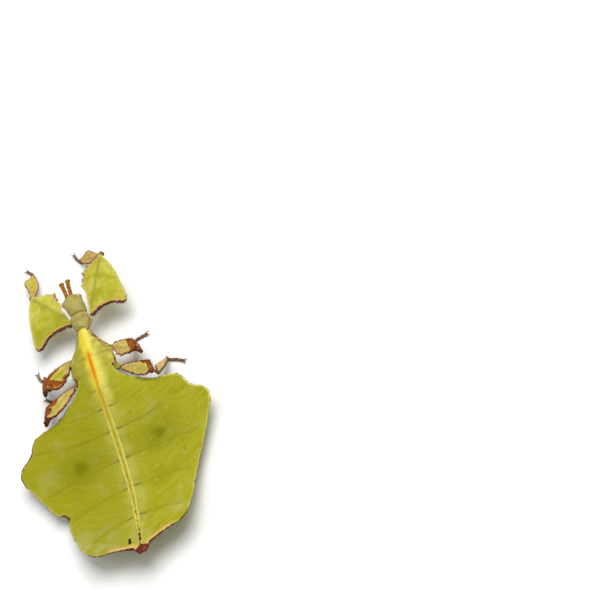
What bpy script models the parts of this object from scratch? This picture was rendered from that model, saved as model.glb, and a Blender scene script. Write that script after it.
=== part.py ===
"""Leaf insect, a late female nymph at life size, standing still.

The head looks along +Y and +Z is up. The origin is on the floor, under the flat of the belly.
Sizes are in millimetres and become metres where a mesh is made.
"""

import math

import bmesh
import bpy
import numpy as np

for old in list(bpy.data.objects):
    bpy.data.objects.remove(old, do_unlink=True)

MM = 0.001
GAP = 0.3  # clearance between neighbouring nodes
EDGE = 0.27  # half the thickness of a leafy rim
UP = np.array([0.0, 0.0, 1.0])

# Height of the back over the floor along the midline, as (y, z)
BACK_LINE = [
    (-32.5, 7.5),
    (-26.0, 5.6),
    (-21.0, 4.3),
    (-16.0, 3.4),
    (-11.0, 3.1),
    (-6.0, 3.4),
    (0.0, 4.2),
    (6.0, 5.5),
    (12.0, 6.6),
    (18.0, 7.1),
    (24.0, 7.5),
    (30.0, 7.6),
    (37.0, 8.4),
]

# Half outline of the abdomen: (y on the midline, x of the rim, y of the rim)
ABDOMEN_ROWS = [
    (15.6, 4.3, 15.6),
    (14.4, 4.9, 14.2),
    (13.0, 6.5, 12.5),
    (11.6, 8.4, 11.2),
    (10.2, 10.4, 9.8),
    (8.9, 12.5, 8.7),
    (7.5, 15.1, 8.3),
    (6.1, 17.3, 7.4),
    (4.7, 18.3, 5.7),
    (3.2, 19.1, 3.8),
    (1.6, 21.2, 2.3),
    (0.0, 22.5, 0.5),
    (-1.8, 22.2, -1.9),
    (-3.8, 21.2, -3.9),
    (-6.2, 19.9, -6.6),
    (-8.7, 18.5, -9.3),
    (-11.1, 17.2, -11.9),
    (-13.5, 15.9, -14.2),
    (-16.2, 14.9, -17.4),
    (-18.9, 14.1, -20.8),
    (-21.4, 13.1, -23.9),
    (-23.7, 11.4, -26.4),
    (-25.8, 9.5, -27.8),
    (-27.4, 7.2, -28.1),
    (-28.6, 4.4, -28.9),
    (-29.5, 2.1, -29.6),
]
RIGHT_TRIM = (-21.0, 4.5, 0.8)  # the right rim is drawn in here: (y, spread, most)
NICK_ROW = 17  # a small bite out of the left rim
NICK = (-0.9, 0.7)
FOLD_ROWS = (7, 10, 14, 17, 20)  # where one abdominal segment folds on the next
FOLD_HEIGHT = 0.16
LOBE_THICK = 0.62
LOBE_THINNING = 0.08
BACK_DROP = 0.35  # the leaf lies this far below the back line
RIB_HEIGHT, RIB_SPREAD = 0.35, 0.8
RIM_LIFT = [(1.0, 0.55), (7.0, -0.35), (10.0, -1.05), (13.0, -0.9), (15.6, -0.5)]  # (y, rise of the rim)
CORE_WIDTH = 3.0
CORE_POWER = 2.2
# Depth of the soft belly under the midline, as (y, depth)
CORE_DEPTH = [
    (-30.5, 0.5),
    (-22.0, 1.4),
    (-16.0, 2.4),
    (-12.0, 3.4),
    (-6.0, 3.8),
    (1.0, 4.6),
    (5.0, 4.2),
    (10.0, 3.8),
    (15.6, 3.0),
]

# Thorax plates: (y, half width, top, rim top, bottom)
PROTHORAX_ROWS = [
    (32.1, 1.85, 7.55, 7.0, 5.0),
    (31.6, 2.1, 7.75, 7.0, 4.7),
    (30.9, 2.2, 7.75, 6.9, 4.5),
    (30.2, 2.15, 7.4, 6.8, 4.4),
    (29.6, 2.0, 7.65, 6.8, 4.4),
    (28.7, 1.7, 7.7, 6.8, 4.5),
    (28.0, 1.4, 7.5, 6.8, 4.6),
]
MESOTHORAX_ROWS = [
    (27.7, 1.4, 7.3, 6.7, 4.6),
    (27.0, 1.6, 7.5, 6.6, 4.4),
    (26.0, 2.1, 7.6, 6.4, 4.2),
    (24.8, 2.65, 7.6, 6.2, 4.0),
    (23.6, 3.35, 7.6, 6.1, 3.9),
    (22.4, 4.2, 7.5, 6.2, 3.8),
    (21.2, 4.95, 7.5, 6.3, 3.8),
    (20.4, 5.4, 7.4, 6.4, 3.8),
    (19.9, 5.35, 7.2, 6.4, 3.9),
]
METATHORAX_ROWS = [
    (19.6, 5.05, 7.2, 6.3, 3.9),
    (19.0, 5.15, 7.3, 6.3, 3.8),
    (18.0, 5.25, 7.2, 6.2, 3.7),
    (17.0, 5.2, 7.1, 6.1, 3.6),
    (16.3, 4.8, 7.0, 6.0, 3.6),
    (15.9, 4.3, 6.9, 6.0, 3.7),
]
RIM_THICK = 0.6
ROOF_POWER, BREAST_POWER = 1.6, 2.2
KEEL = 0.1
# The pad of the young wing lies over both hind plates: (y, distance from the midline)
WING_PAD = [(21.8, 2.6), (20.0, 3.5), (18.0, 4.1), (16.0, 4.4)]
PAD_HALF_WIDTH = 1.25
PAD_HEIGHT = 0.28

# Head stations: (distance from the neck, half width, top, bottom)
HEAD_BASE = (0.0, 32.4)
HEAD_TURN = math.radians(8)  # the head is turned a little to its left
NECK_LENGTH = 1.5
HEAD_STATIONS = [
    (0.0, 1.7, 7.35, 5.2),
    (0.5, 1.95, 7.75, 4.8),
    (1.4, 2.1, 8.0, 4.5),
    (2.4, 2.2, 8.25, 4.4),
    (3.4, 2.15, 8.4, 4.5),
    (4.2, 2.0, 8.35, 4.8),
    (4.8, 1.65, 8.1, 5.2),
    (5.2, 1.15, 7.65, 5.7),
    (5.4, 0.6, 7.15, 6.2),
]
HEAD_SIDES = 16
HEAD_SQUARENESS = 2.6
EYE_RADIUS = 0.72
EYE_OUT, EYE_FORWARD, EYE_HEIGHT = 1.95, 3.75, 7.3
ANTENNA_RADIUS = 0.42
ANTENNA_BEADS = 8
# Out, forward and height on the head. Both tips lean a little to the right
ANTENNA_ROOT = (0.48, 4.6, 7.85)
ANTENNA_TIP = (0.78, 8.05, 8.95)
ANTENNA_LEAN = 0.55
ANTENNA_ARCH = 0.2
ANTENNA_TAPER = 0.25
ANTENNA_WAIST = 0.8  # share of the radius between two beads
# Forward and height of the jaws with their radius, then out, forward and height of a mouth feeler
JAWS = [(4.2, 6.0, 0.8), (5.1, 5.2, 0.7), (5.2, 4.3, 0.45)]
MOUTH_FEELER = [(0.6, 4.6, 5.6), (0.8, 5.4, 4.9), (0.65, 5.6, 3.9)]
MOUTH_FEELER_RADIUS = 0.27

# Femur outlines: (u on the shaft, (u, v) of the outer rim, (u, v) of the inner rim)
FORE_FEMUR = [
    (1.3, (1.3, 0.5), (1.3, -0.5)),
    (2.0, (2.0, 0.9), (2.2, -0.65)),
    (2.8, (3.0, 2.1), (3.3, -0.8)),
    (3.4, (3.9, 3.6), (4.4, -1.2)),
    (4.0, (4.3, 5.0), (5.5, -1.6)),
    (4.8, (4.2, 6.4), (6.3, -1.7)),
    (5.6, (4.1, 7.6), (7.3, -2.4)),
    (6.4, (4.8, 8.4), (8.1, -3.2)),
    (7.2, (6.2, 8.2), (8.7, -3.65)),
    (8.2, (7.7, 7.4), (9.25, -3.2)),
    (9.3, (9.1, 6.35), (10.1, -3.9)),
    (10.3, (10.7, 5.35), (10.7, -3.4)),
    (11.3, (12.1, 4.35), (11.6, -4.2)),
    (12.3, (13.3, 3.3), (12.3, -3.4)),
    (13.3, (14.3, 2.3), (13.3, -2.6)),
    (14.3, (15.0, 1.4), (14.5, -1.3)),
    (15.1, (15.5, 0.75), (15.3, -0.75)),
    (15.6, (15.7, 0.5), (15.7, -0.5)),
]
MID_FEMUR = [
    (0.0, (0.0, 0.5), (0.0, -0.45)),
    (0.8, (0.8, 1.05), (0.8, -0.7)),
    (1.7, (1.7, 1.5), (1.8, -1.3)),
    (2.6, (2.7, 1.8), (2.7, -1.85)),
    (3.5, (3.7, 2.05), (3.5, -1.95)),
    (4.5, (4.8, 2.25), (4.5, -1.95)),
    (5.5, (5.7, 2.0), (5.4, -1.6)),
    (6.4, (6.5, 1.35), (6.4, -1.2)),
    (7.2, (7.3, 0.75), (7.2, -0.85)),
    (7.8, (7.8, 0.5), (7.8, -0.5)),
]
HIND_FEMUR = [
    (0.0, (0.0, 0.5), (0.0, -0.4)),
    (0.9, (0.9, 1.1), (0.9, -0.5)),
    (1.9, (1.9, 1.45), (1.9, -0.75)),
    (2.9, (3.0, 1.7), (2.9, -1.0)),
    (4.0, (4.2, 2.0), (3.9, -1.25)),
    (5.0, (5.4, 2.35), (4.9, -1.35)),
    (6.1, (6.4, 2.35), (5.9, -1.35)),
    (7.1, (7.2, 1.6), (6.9, -1.2)),
    (7.9, (8.0, 0.9), (7.8, -0.85)),
    (8.5, (8.5, 0.5), (8.5, -0.5)),
]
# Tibia widths: (share of the length, main lobe, lesser lobe)
FORE_TIBIA = [
    (0.0, 0.42, 0.42),
    (0.12, 0.5, 0.6),
    (0.28, 0.65, 1.0),
    (0.42, 1.05, 1.3),
    (0.56, 1.6, 1.4),
    (0.68, 2.0, 1.35),
    (0.78, 1.95, 1.2),
    (0.86, 1.5, 0.95),
    (0.93, 0.8, 0.6),
    (1.0, 0.42, 0.42),
]
REAR_TIBIA = [
    (0.0, 0.42, 0.42),
    (0.12, 0.5, 0.42),
    (0.26, 0.9, 0.55),
    (0.4, 1.45, 0.7),
    (0.52, 1.9, 0.75),
    (0.63, 1.75, 0.7),
    (0.74, 1.1, 0.6),
    (0.86, 0.6, 0.5),
    (1.0, 0.42, 0.42),
]
# Across a shin: (share of the lobe's reach, half thickness), from the lesser lobe to the main one
SHIN_SECTION = [(-1.0, 0.25), (-0.5, 0.36), (0.0, 0.42), (0.5, 0.36), (1.0, 0.25)]
KNEE_RADIUS = 0.44
ANKLE_HEIGHT = 1.15
THIGH_CORE, THIGH_THINNING, THIGH_END = 0.62, 0.12, 0.45
THIGH_CURL = 0.012
TOOTH = 0.22  # the small teeth along the inner edge of the rear femora

# Each leg: (hip inside the body, thigh root, knee), (ankle and last toe on the plan, bow of the toes)
LEGS = {
    "fore_right": (
        ((1.0, 29.9, 5.0), (2.0, 30.4, 4.8), (8.7, 43.9, 7.9)),
        ((2.2, 50.9), (0.8, 53.6), 0.3),
    ),
    "fore_left": (
        ((-1.0, 29.9, 5.0), (-1.7, 30.3, 5.0), (-9.9, 43.5, 4.9)),
        ((-9.7, 52.6), (-10.9, 55.4), -0.3),
    ),
    "mid_right": (
        ((3.2, 22.5, 4.3), (5.1, 21.8, 4.7), (10.4, 16.8, 6.7)),
        ((8.4, 23.6), (11.7, 24.2), 0.2),
    ),
    "mid_left": (
        ((-3.1, 22.9, 4.3), (-4.9, 22.6, 4.6), (-11.5, 17.2, 6.5)),
        ((-12.9, 24.3), (-14.5, 26.6), 0.6),
    ),
    "hind_right": (
        ((4.2, 17.0, 4.3), (5.7, 15.3, 4.6), (12.7, 9.4, 6.9)),
        ((14.9, 15.2), (18.1, 13.3), 0.2),
    ),
    "hind_left": (
        ((-4.2, 17.2, 4.3), (-5.8, 15.6, 4.6), (-12.8, 9.4, 6.9)),
        ((-13.8, 16.3), (-13.9, 19.3), -1.0),
    ),
}
# How a thigh differs from the outline: the share of the outer rim, how far the inner rim is drawn in
# or let out, and where on the thigh's length
THIGH_SHAPES = {
    "fore_right": (0.91, -0.5, 0.34),
    "fore_left": (1.06, 0.9, 0.46),
    "mid_left": (1.0, -1.3, 0.76),
}
WAIST_SPREAD = 0.2
COXA_RADIUS = 0.75
FORE_COXA_RADIUS = 0.6
HIP_GAP = 0.5
KNEE_GAP = 0.5
KNEE_DROP = 1.15  # how far the shin drops before it turns to the foot
TOE_JOINTS = 5
TOE_RADIUS = 0.4
TOE_SWELLING = [(0.08, 0.8), (0.5, 0.92), (0.9, 1.0)]  # along one joint: (share, share of the radius)
CLAW_LENGTH = 0.85
CLAW_RADII = [0.2, 0.2, 0.17, 0.12, 0.07]
# Half width and height of the last segment, then a short feeler behind it: out, along, height, radius
TAIL_ROWS = [(-29.9, 1.85), (-30.3, 1.6), (-30.8, 1.15), (-31.2, 0.6), (-31.4, 0.3)]
TAIL_CROWN, TAIL_DEPTH = 0.3, 0.7
CERCUS = [(0.45, -30.6, 6.4, 0.28), (0.7, -31.3, 6.6, 0.3), (0.8, -31.9, 7.0, 0.15)]

LEAF_GREEN = (0.42, 0.45, 0.06)
PALE_GREEN = (0.45, 0.45, 0.16)
THORAX_YELLOW = (0.55, 0.52, 0.08)
RUST = (0.28, 0.09, 0.02)
DARK_BROWN = (0.07, 0.035, 0.02)
EYE_BROWN = (0.12, 0.06, 0.03)
MAROON = (0.16, 0.03, 0.02)


def finish_material(name, colour, roughness=0.55):
    """One Principled material per node."""
    material = bpy.data.materials.new(name)
    material.use_nodes = True
    shader = material.node_tree.nodes["Principled BSDF"]
    shader.inputs["Base Color"].default_value = (*colour, 1)
    shader.inputs["Roughness"].default_value = roughness
    return material


def make_object(name, points, faces, colour, roughness=0.55):
    """A closed mesh object from points in millimetres, with its faces pointing out."""
    mesh = bpy.data.meshes.new(name)
    shape = bmesh.new()
    corners = [shape.verts.new([value * MM for value in point]) for point in points]
    for face in faces:
        shape.faces.new([corners[index] for index in face])
    bmesh.ops.recalc_face_normals(shape, faces=shape.faces)
    if shape.calc_volume(signed=True) < 0:
        bmesh.ops.reverse_faces(shape, faces=shape.faces)
    shape.to_mesh(mesh)
    shape.free()
    mesh.materials.append(finish_material(name, colour, roughness))
    made = bpy.data.objects.new(name, mesh)
    bpy.context.scene.collection.objects.link(made)
    mesh.shade_smooth()
    mesh.set_sharp_from_angle(angle=math.radians(40))
    return made


def smooth_value(knots):
    """A smooth function through (x, value) knots."""
    xs, values = (np.array(side, float) for side in zip(*sorted(knots)))
    slopes = np.diff(values) / np.diff(xs)
    tangents = np.concatenate([slopes[:1], (slopes[:-1] + slopes[1:]) / 2, slopes[-1:]])

    def value(x):
        i = int(np.clip(np.searchsorted(xs, x) - 1, 0, len(slopes) - 1))
        width = xs[i + 1] - xs[i]
        t = float(np.clip((x - xs[i]) / width, 0, 1))
        start = values[i] * (1 + 2 * t) * (1 - t) ** 2 + tangents[i] * width * t * (1 - t) ** 2
        end = values[i + 1] * t * t * (3 - 2 * t) - tangents[i + 1] * width * t * t * (1 - t)
        return float(start + end)

    return value


def smooth_points(points, per_span):
    """Points on a smooth curve that passes through every given point."""
    points = np.array(points, float)
    ends = np.vstack([2 * points[0] - points[1], points, 2 * points[-1] - points[-2]])
    found = []
    for i in range(len(points) - 1):
        before, start, end, after = ends[i : i + 4]
        for step in range(per_span):
            t = step / per_span
            found.append(
                0.5
                * (
                    2 * start
                    + (end - before) * t
                    + (2 * before - 5 * start + 4 * end - after) * t**2
                    + (3 * start - before - 3 * end + after) * t**3
                )
            )
    found.append(points[-1])
    return np.array(found)


def sheet(top, bottom):
    """Points and triangles of a closed leaf with like diagonals on both faces."""
    rows, columns = len(top), len(top[0])
    points = [tuple(point) for face in (top, bottom) for row in face for point in row]
    under = rows * columns
    faces = []
    for i in range(rows - 1):
        for j in range(columns - 1):
            a, b = i * columns + j, i * columns + j + 1
            c, d = b + columns, a + columns
            faces += [(a, b, c), (a, c, d)]
            faces += [(under + c, under + b, under + a), (under + d, under + c, under + a)]
    rim = list(range(columns))
    rim += [i * columns + columns - 1 for i in range(1, rows)]
    rim += [(rows - 1) * columns + j for j in range(columns - 2, -1, -1)]
    rim += [i * columns for i in range(rows - 2, 0, -1)]
    for here, there in zip(rim, rim[1:] + rim[:1]):
        faces += [(there, here, under + here), (there, under + here, under + there)]
    return points, faces


def loft(rings):
    """Points and faces of a closed tube through rings of equal point counts."""
    sides = len(rings[0])
    points = [tuple(point) for ring in rings for point in ring]
    faces = []
    for i in range(len(rings) - 1):
        for j in range(sides):
            a, b = i * sides + j, i * sides + (j + 1) % sides
            faces += [(a, b, b + sides), (a, b + sides, a + sides)]
    for ring, start in ((rings[0], 0), (rings[-1], (len(rings) - 1) * sides)):
        points.append(tuple(np.mean(ring, axis=0)))
        middle = len(points) - 1
        faces += [(start + j, start + (j + 1) % sides, middle) for j in range(sides)]
    return points, faces


def unit(vector):
    return np.array(vector, float) / np.linalg.norm(vector)


def tube(path, radii, sides, grow=0.0, floor=False):
    """A round tube along a path. With floor its underside is flat at floor level."""
    path = np.array(path, float)
    rings = []
    for i, (centre, radius) in enumerate(zip(path, radii)):
        ahead = unit(path[min(i + 1, len(path) - 1)] - path[max(i - 1, 0)])
        side = unit(np.cross(ahead, UP)) if abs(ahead[2]) < 0.98 else np.array([1.0, 0, 0])
        lift = np.cross(side, ahead)
        if i == 0:
            centre = centre - ahead * grow
        elif i == len(path) - 1:
            centre = centre + ahead * grow
        ring = []
        for j in range(sides):
            angle = 2 * math.pi * (j + 0.5) / sides
            point = centre + (radius + grow) * (math.cos(angle) * side + math.sin(angle) * lift)
            if floor:
                point[2] = max(point[2], 0.0)
            ring.append(point)
        rings.append(ring)
    return loft(rings)


def ball(centre, radius, grow=0.0, flatten=1.0):
    """A ball from rings, a little flattened along X."""
    rings = []
    for latitude in np.radians(np.linspace(-72, 72, 7)):
        ring = []
        for j in range(12):
            angle = 2 * math.pi * j / 12
            out = (radius + grow) * math.cos(latitude)
            ring.append(
                (
                    centre[0] + out * math.cos(angle) * flatten,
                    centre[1] + out * math.sin(angle),
                    centre[2] + (radius + grow) * math.sin(latitude),
                )
            )
        rings.append(ring)
    return loft(rings)


def largest_surface(mesh):
    """Keeps the largest closed surface of a mesh."""
    shape = bmesh.new()
    shape.from_mesh(mesh)
    bmesh.ops.triangulate(shape, faces=shape.faces)
    waiting = set(shape.faces)
    surfaces = []
    while waiting:
        grown = [waiting.pop()]
        surface = list(grown)
        while grown:
            face = grown.pop()
            for edge in face.edges:
                for beside in edge.link_faces:
                    if beside in waiting:
                        waiting.remove(beside)
                        grown.append(beside)
                        surface.append(beside)
        surfaces.append(surface)
    surfaces.sort(key=lambda surface: sum(face.calc_area() for face in surface))
    scraps = [face for surface in surfaces[:-1] for face in surface]
    bmesh.ops.delete(shape, geom=scraps, context="FACES")
    loose = [corner for corner in shape.verts if not corner.link_faces]
    bmesh.ops.delete(shape, geom=loose, context="VERTS")
    shape.to_mesh(mesh)
    shape.free()


def apply_boolean(target, pieces, operation):
    """Joins closed pieces to a node, or cuts them from it, and removes the pieces."""
    group = bpy.data.collections.new("pieces")
    bpy.context.scene.collection.children.link(group)
    for piece in pieces:
        bpy.context.scene.collection.objects.unlink(piece)
        group.objects.link(piece)
    change = target.modifiers.new(operation.title(), "BOOLEAN")
    change.operation = operation
    change.operand_type = "COLLECTION"
    change.collection = group
    change.solver = "EXACT"
    bpy.context.view_layer.update()
    graph = bpy.context.evaluated_depsgraph_get()
    mesh = bpy.data.meshes.new_from_object(target.evaluated_get(graph))
    target.modifiers.clear()
    target.data = mesh
    for piece in list(group.objects):
        bpy.data.objects.remove(piece, do_unlink=True)
    bpy.data.collections.remove(group)
    while len(mesh.materials) > 1:
        mesh.materials.pop()
    largest_surface(mesh)
    mesh.shade_smooth()
    mesh.set_sharp_from_angle(angle=math.radians(40))


def piece(shape):
    """A helper solid that a Boolean joins or cuts."""
    return make_object("piece", *shape, LEAF_GREEN)


back_height = smooth_value(BACK_LINE)
core_depth = smooth_value(CORE_DEPTH)
rim_lift = smooth_value(RIM_LIFT)
pad_middle = smooth_value(WING_PAD)


def bell(value, middle, spread):
    """One at the middle, and soft to zero on both sides."""
    return math.exp(-(((value - middle) / spread) ** 2))


def lobe_height(y, share):
    """Height of the abdomen's upper face, without its median rib."""
    return back_height(y) - BACK_DROP + rim_lift(y) * share * share


def abdomen():
    """The leaf-shaped abdomen, with a soft belly whose flat rests on the floor."""
    at, spread, most = RIGHT_TRIM
    right_rows = [(y, x - most * bell(y, at, spread), rim) for y, x, rim in ABDOMEN_ROWS]
    right_rows = smooth_points(right_rows, 2)
    left_rows = [list(row) for row in ABDOMEN_ROWS]
    left_rows[NICK_ROW][1] += NICK[0]
    left_rows[NICK_ROW][2] += NICK[1]
    left_rows = smooth_points(left_rows, 2)
    inner = (0.0, 0.9, 2.3)
    shares = (0.18, 0.42, 0.7, 1.0)
    top, bottom = [], []
    for i, (right, left) in enumerate(zip(right_rows, left_rows)):
        fold = FOLD_HEIGHT if i / 2 in FOLD_ROWS else 0.0
        upper, lower = [], []
        for side, (middle, rim_x, rim_y) in ((-1, left), (1, right)):
            offsets = list(inner) + [inner[-1] + (rim_x - inner[-1]) * s for s in shares]
            if rim_x < inner[-1] + 1.0:
                offsets = [rim_x * k / 6 for k in range(7)]
            line_up, line_down = [], []
            for x in offsets:
                share = x / rim_x
                y = middle + (rim_y - middle) * share
                base = lobe_height(y, share)
                rib = RIB_HEIGHT * bell(x, 0.0, RIB_SPREAD)
                ridge = fold * math.sin(math.pi * min(share, 1.0))
                soft = core_depth(y) * math.exp(-((x / CORE_WIDTH) ** CORE_POWER))
                thick = LOBE_THICK - LOBE_THINNING * share + soft
                line_up.append((side * x, y, base + rib + ridge))
                line_down.append((side * x, y, max(base - thick, 0.0)))
            if side < 0:
                upper += line_up[::-1]
                lower += line_down[::-1]
            else:
                upper += line_up[1:]
                lower += line_down[1:]
        top.append(upper)
        bottom.append(lower)
    return make_object("abdomen", *sheet(top, bottom), LEAF_GREEN)


def pad_height(x, y):
    """How far the wing pad rises over the plate below it."""
    first, last = WING_PAD[0][0], WING_PAD[-1][0]
    if not last - 1 < y < first:
        return 0.0
    off = (abs(x) - pad_middle(y)) / (PAD_HALF_WIDTH * min(1.0, 0.4 + (first - y) / 2))
    return PAD_HEIGHT * max(1.0 - off**4, 0.0)


def plate(name, rows, colour, keel=0.0):
    """One thorax segment: a low roof above, a rounded breast below."""
    half = (0.12, 0.3, 0.45, 0.6, 0.75, 0.9, 1.0)
    shares = [-share for share in reversed(half)] + [0.0] + list(half)
    top, bottom = [], []
    for y, width, crown, rim, breast in smooth_points(rows, 2):
        upper, lower = [], []
        for share in shares:
            height = crown - (crown - rim) * abs(share) ** ROOF_POWER + keel * (share == 0)
            depth = breast + (rim - RIM_THICK - breast) * abs(share) ** BREAST_POWER
            upper.append((share * width, y, height + pad_height(share * width, y)))
            lower.append((share * width, y, depth))
        top.append(upper)
        bottom.append(lower)
    return make_object(name, *sheet(top, bottom), colour)


def head_point(out, forward, height):
    """A place on the head, which turns more the further it is from the neck."""
    turn = HEAD_TURN * min(1.0, forward / NECK_LENGTH)
    cos, sin = math.cos(turn), math.sin(turn)
    x = HEAD_BASE[0] + out * cos - forward * sin
    y = HEAD_BASE[1] + out * sin + forward * cos
    return np.array([x, y, height])


def skull():
    """The head capsule, a rounded box that narrows to the face."""
    rings = []
    for forward, width, crown, chin in HEAD_STATIONS:
        middle, half = (crown + chin) / 2, (crown - chin) / 2
        ring = []
        for j in range(HEAD_SIDES):
            angle = 2 * math.pi * (j + 0.5) / HEAD_SIDES
            across, rise = math.cos(angle), math.sin(angle)
            reach = abs(across) ** HEAD_SQUARENESS + abs(rise) ** HEAD_SQUARENESS
            square = reach ** (-1 / HEAD_SQUARENESS)
            ring.append(head_point(width * across * square, forward, middle + half * rise * square))
        rings.append(ring)
    return loft(rings)


def antenna_path(side):
    """A short feeler that rises forward from the brow."""
    root = head_point(side * ANTENNA_ROOT[0], *ANTENNA_ROOT[1:])
    tip = head_point(side * ANTENNA_TIP[0] + ANTENNA_LEAN, *ANTENNA_TIP[1:])
    middle = (root + tip) / 2 + UP * ANTENNA_ARCH
    return smooth_points([root, middle, tip], ANTENNA_BEADS)


def antenna_shape(side, grow=0.0):
    """Beaded tube: each bead is a wide ring after a narrow one."""
    path = antenna_path(side)
    radii = []
    for i in range(len(path)):
        taper = 1.0 - ANTENNA_TAPER * i / (len(path) - 1)
        radii.append(ANTENNA_RADIUS * taper * (1.0 if i % 2 else ANTENNA_WAIST))
    return tube(path, radii, 8, grow)


def mouth_piece(side):
    """A feeler of the mouth, bent down beside the jaws."""
    bends = [head_point(side * out, forward, height) for out, forward, height in MOUTH_FEELER]
    line = smooth_points(bends, 3)
    return tube(line, [MOUTH_FEELER_RADIUS] * len(line), 6)


def build_head():
    head = make_object("head", *skull(), PALE_GREEN)
    jaw_path = [head_point(0, forward, height) for forward, height, _ in JAWS]
    jaws = tube(jaw_path, [radius for _, _, radius in JAWS], 8)
    apply_boolean(head, [piece(jaws), piece(mouth_piece(-1)), piece(mouth_piece(1))], "UNION")
    cutters = []
    for side, word in ((-1, "left"), (1, "right")):
        centre = head_point(side * EYE_OUT, EYE_FORWARD, EYE_HEIGHT)
        make_object(f"eye_{word}", *ball(centre, EYE_RADIUS, flatten=0.8), EYE_BROWN, 0.2)
        cutters.append(piece(ball(centre, EYE_RADIUS, GAP, 0.8)))
        make_object(f"antenna_{word}", *antenna_shape(side), RUST)
        cutters.append(piece(antenna_shape(side, GAP)))
    apply_boolean(head, cutters, "DIFFERENCE")


def femur(name, rows, start, knee, side, tooth, shape):
    """A thigh: a shaft with a leafy rim on either side, the inner one toothed."""
    outer_share, drawn_in, waist_at = shape
    start, knee = np.array(start, float), np.array(knee, float)
    along = unit(knee - start)
    out = unit(np.cross(along, UP)) * side
    up = np.cross(along, out)
    up = up if up[2] > 0 else -up
    last = rows[-1][0]
    stretch = np.linalg.norm(knee - start) / last
    top, bottom = [], []
    for i, (shaft, outer, inner) in enumerate(rows):
        waist = drawn_in * bell(shaft / last, waist_at, WAIST_SPREAD)
        inner = (inner[0], inner[1] + waist - tooth * (i % 2) * (0 < i < len(rows) - 1))
        shaft_at = np.array([shaft * stretch, 0.0])
        outer_at = np.array([outer[0] * stretch, outer[1] * outer_share])
        inner_at = np.array([inner[0] * stretch, inner[1]])
        edge = THIGH_END if shaft in (rows[0][0], last) else EDGE
        core = THIGH_CORE - THIGH_THINNING * math.sin(math.pi * shaft / last)
        line = [(outer_at, edge)]
        line += [(shaft_at + (outer_at - shaft_at) * t, half) for t, half in ((0.66, 0.3), (0.33, 0.36))]
        line += [(shaft_at, core)]
        line += [(shaft_at + (inner_at - shaft_at) * 0.5, 0.38), (inner_at, edge)]
        upper, lower = [], []
        for (u, v), half in line:
            curve = -THIGH_CURL * v * v
            centre = start + along * u + out * v + up * curve
            upper.append(centre + up * half)
            lower.append(centre - up * half)
        top.append(upper)
        bottom.append(lower)
    return make_object(name, *sheet(top, bottom), LEAF_GREEN)


def tibia(name, widths, start, knee, ankle, lobe_side, colour):
    """A shin with a round knee: it drops from the thigh and carries a lobe on either side."""
    start, knee = np.array(start, float), np.array(knee, float)
    along = unit(knee - start)
    ankle = np.array([*ankle, ANKLE_HEIGHT])
    bend = knee + along - UP * KNEE_DROP
    way = unit(ankle - bend)
    thick = unit(np.cross(along, way))
    thick = thick if thick[2] > 0 else -thick
    front = np.cross(thick, way)
    front = front if front @ along * lobe_side > 0 else -front
    top, bottom = [], []
    for share, ahead, behind in widths:
        centre = bend + (ankle - bend) * share
        upper, lower = [], []
        for reach, half in SHIN_SECTION:
            lobe = reach * (ahead if reach > 0 else behind)
            for line, sign in ((upper, 1), (lower, -1)):
                point = centre + front * lobe + thick * half * sign
                if share == 1.0:
                    point = point + way * ((ANKLE_HEIGHT - point[2]) / way[2])
                line.append(point)
        top.append(upper)
        bottom.append(lower)
    shin = make_object(name, *sheet(top, bottom), colour)
    joint = [knee + along * KNEE_GAP, knee + along * 0.85 - UP * 0.3, bend, bend + way * 0.7]
    joint = smooth_points(joint, 2)
    apply_boolean(shin, [piece(tube(joint, [KNEE_RADIUS] * len(joint), 9))], "UNION")


def tarsus(name, ankle, toe, bow, colour):
    """A foot: five short joints flat on the floor along a bow, and two claws."""
    ankle, toe = np.array(ankle, float), np.array(toe, float)
    way = unit(toe - ankle)
    side = np.array([-way[1], way[0]])
    start = ankle - way * 0.35
    path, radii = [], []
    for joint in range(TOE_JOINTS):
        for share, size in TOE_SWELLING:
            t = (joint + share) / TOE_JOINTS
            at = start + (toe - start) * t + side * bow * math.sin(math.pi * t)
            radius = TOE_RADIUS * size
            path.append((*at, radius * 0.92))
            radii.append(radius)
    foot = make_object(name, *tube(path, radii, 8, floor=True), colour)
    ahead = unit(np.array(path[-1][:2]) - np.array(path[-3][:2]))
    across = np.array([-ahead[1], ahead[0]])
    claws = []
    for sign in (-1, 1):
        root = toe - ahead * 0.35 + across * 0.1 * sign
        middle = toe + ahead * CLAW_LENGTH * 0.45 + across * 0.35 * sign
        end = toe + ahead * CLAW_LENGTH + across * 0.6 * sign
        line = smooth_points([(*root, 0.36), (*middle, 0.5), (*end, 0.16)], 2)
        claws.append(piece(tube(line, CLAW_RADII, 6)))
    apply_boolean(foot, claws, "UNION")


def coxa_shape(hip, root, radius, grow=0.0):
    """The hip: a short cone from inside the breast to the thigh."""
    hip, root = np.array(hip, float), np.array(root, float)
    way = unit(root - hip)
    end = root - way * HIP_GAP
    line = [hip, hip + (end - hip) * 0.5, end]
    return tube(line, [radius, radius, radius * 0.8], 10, grow)


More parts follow.
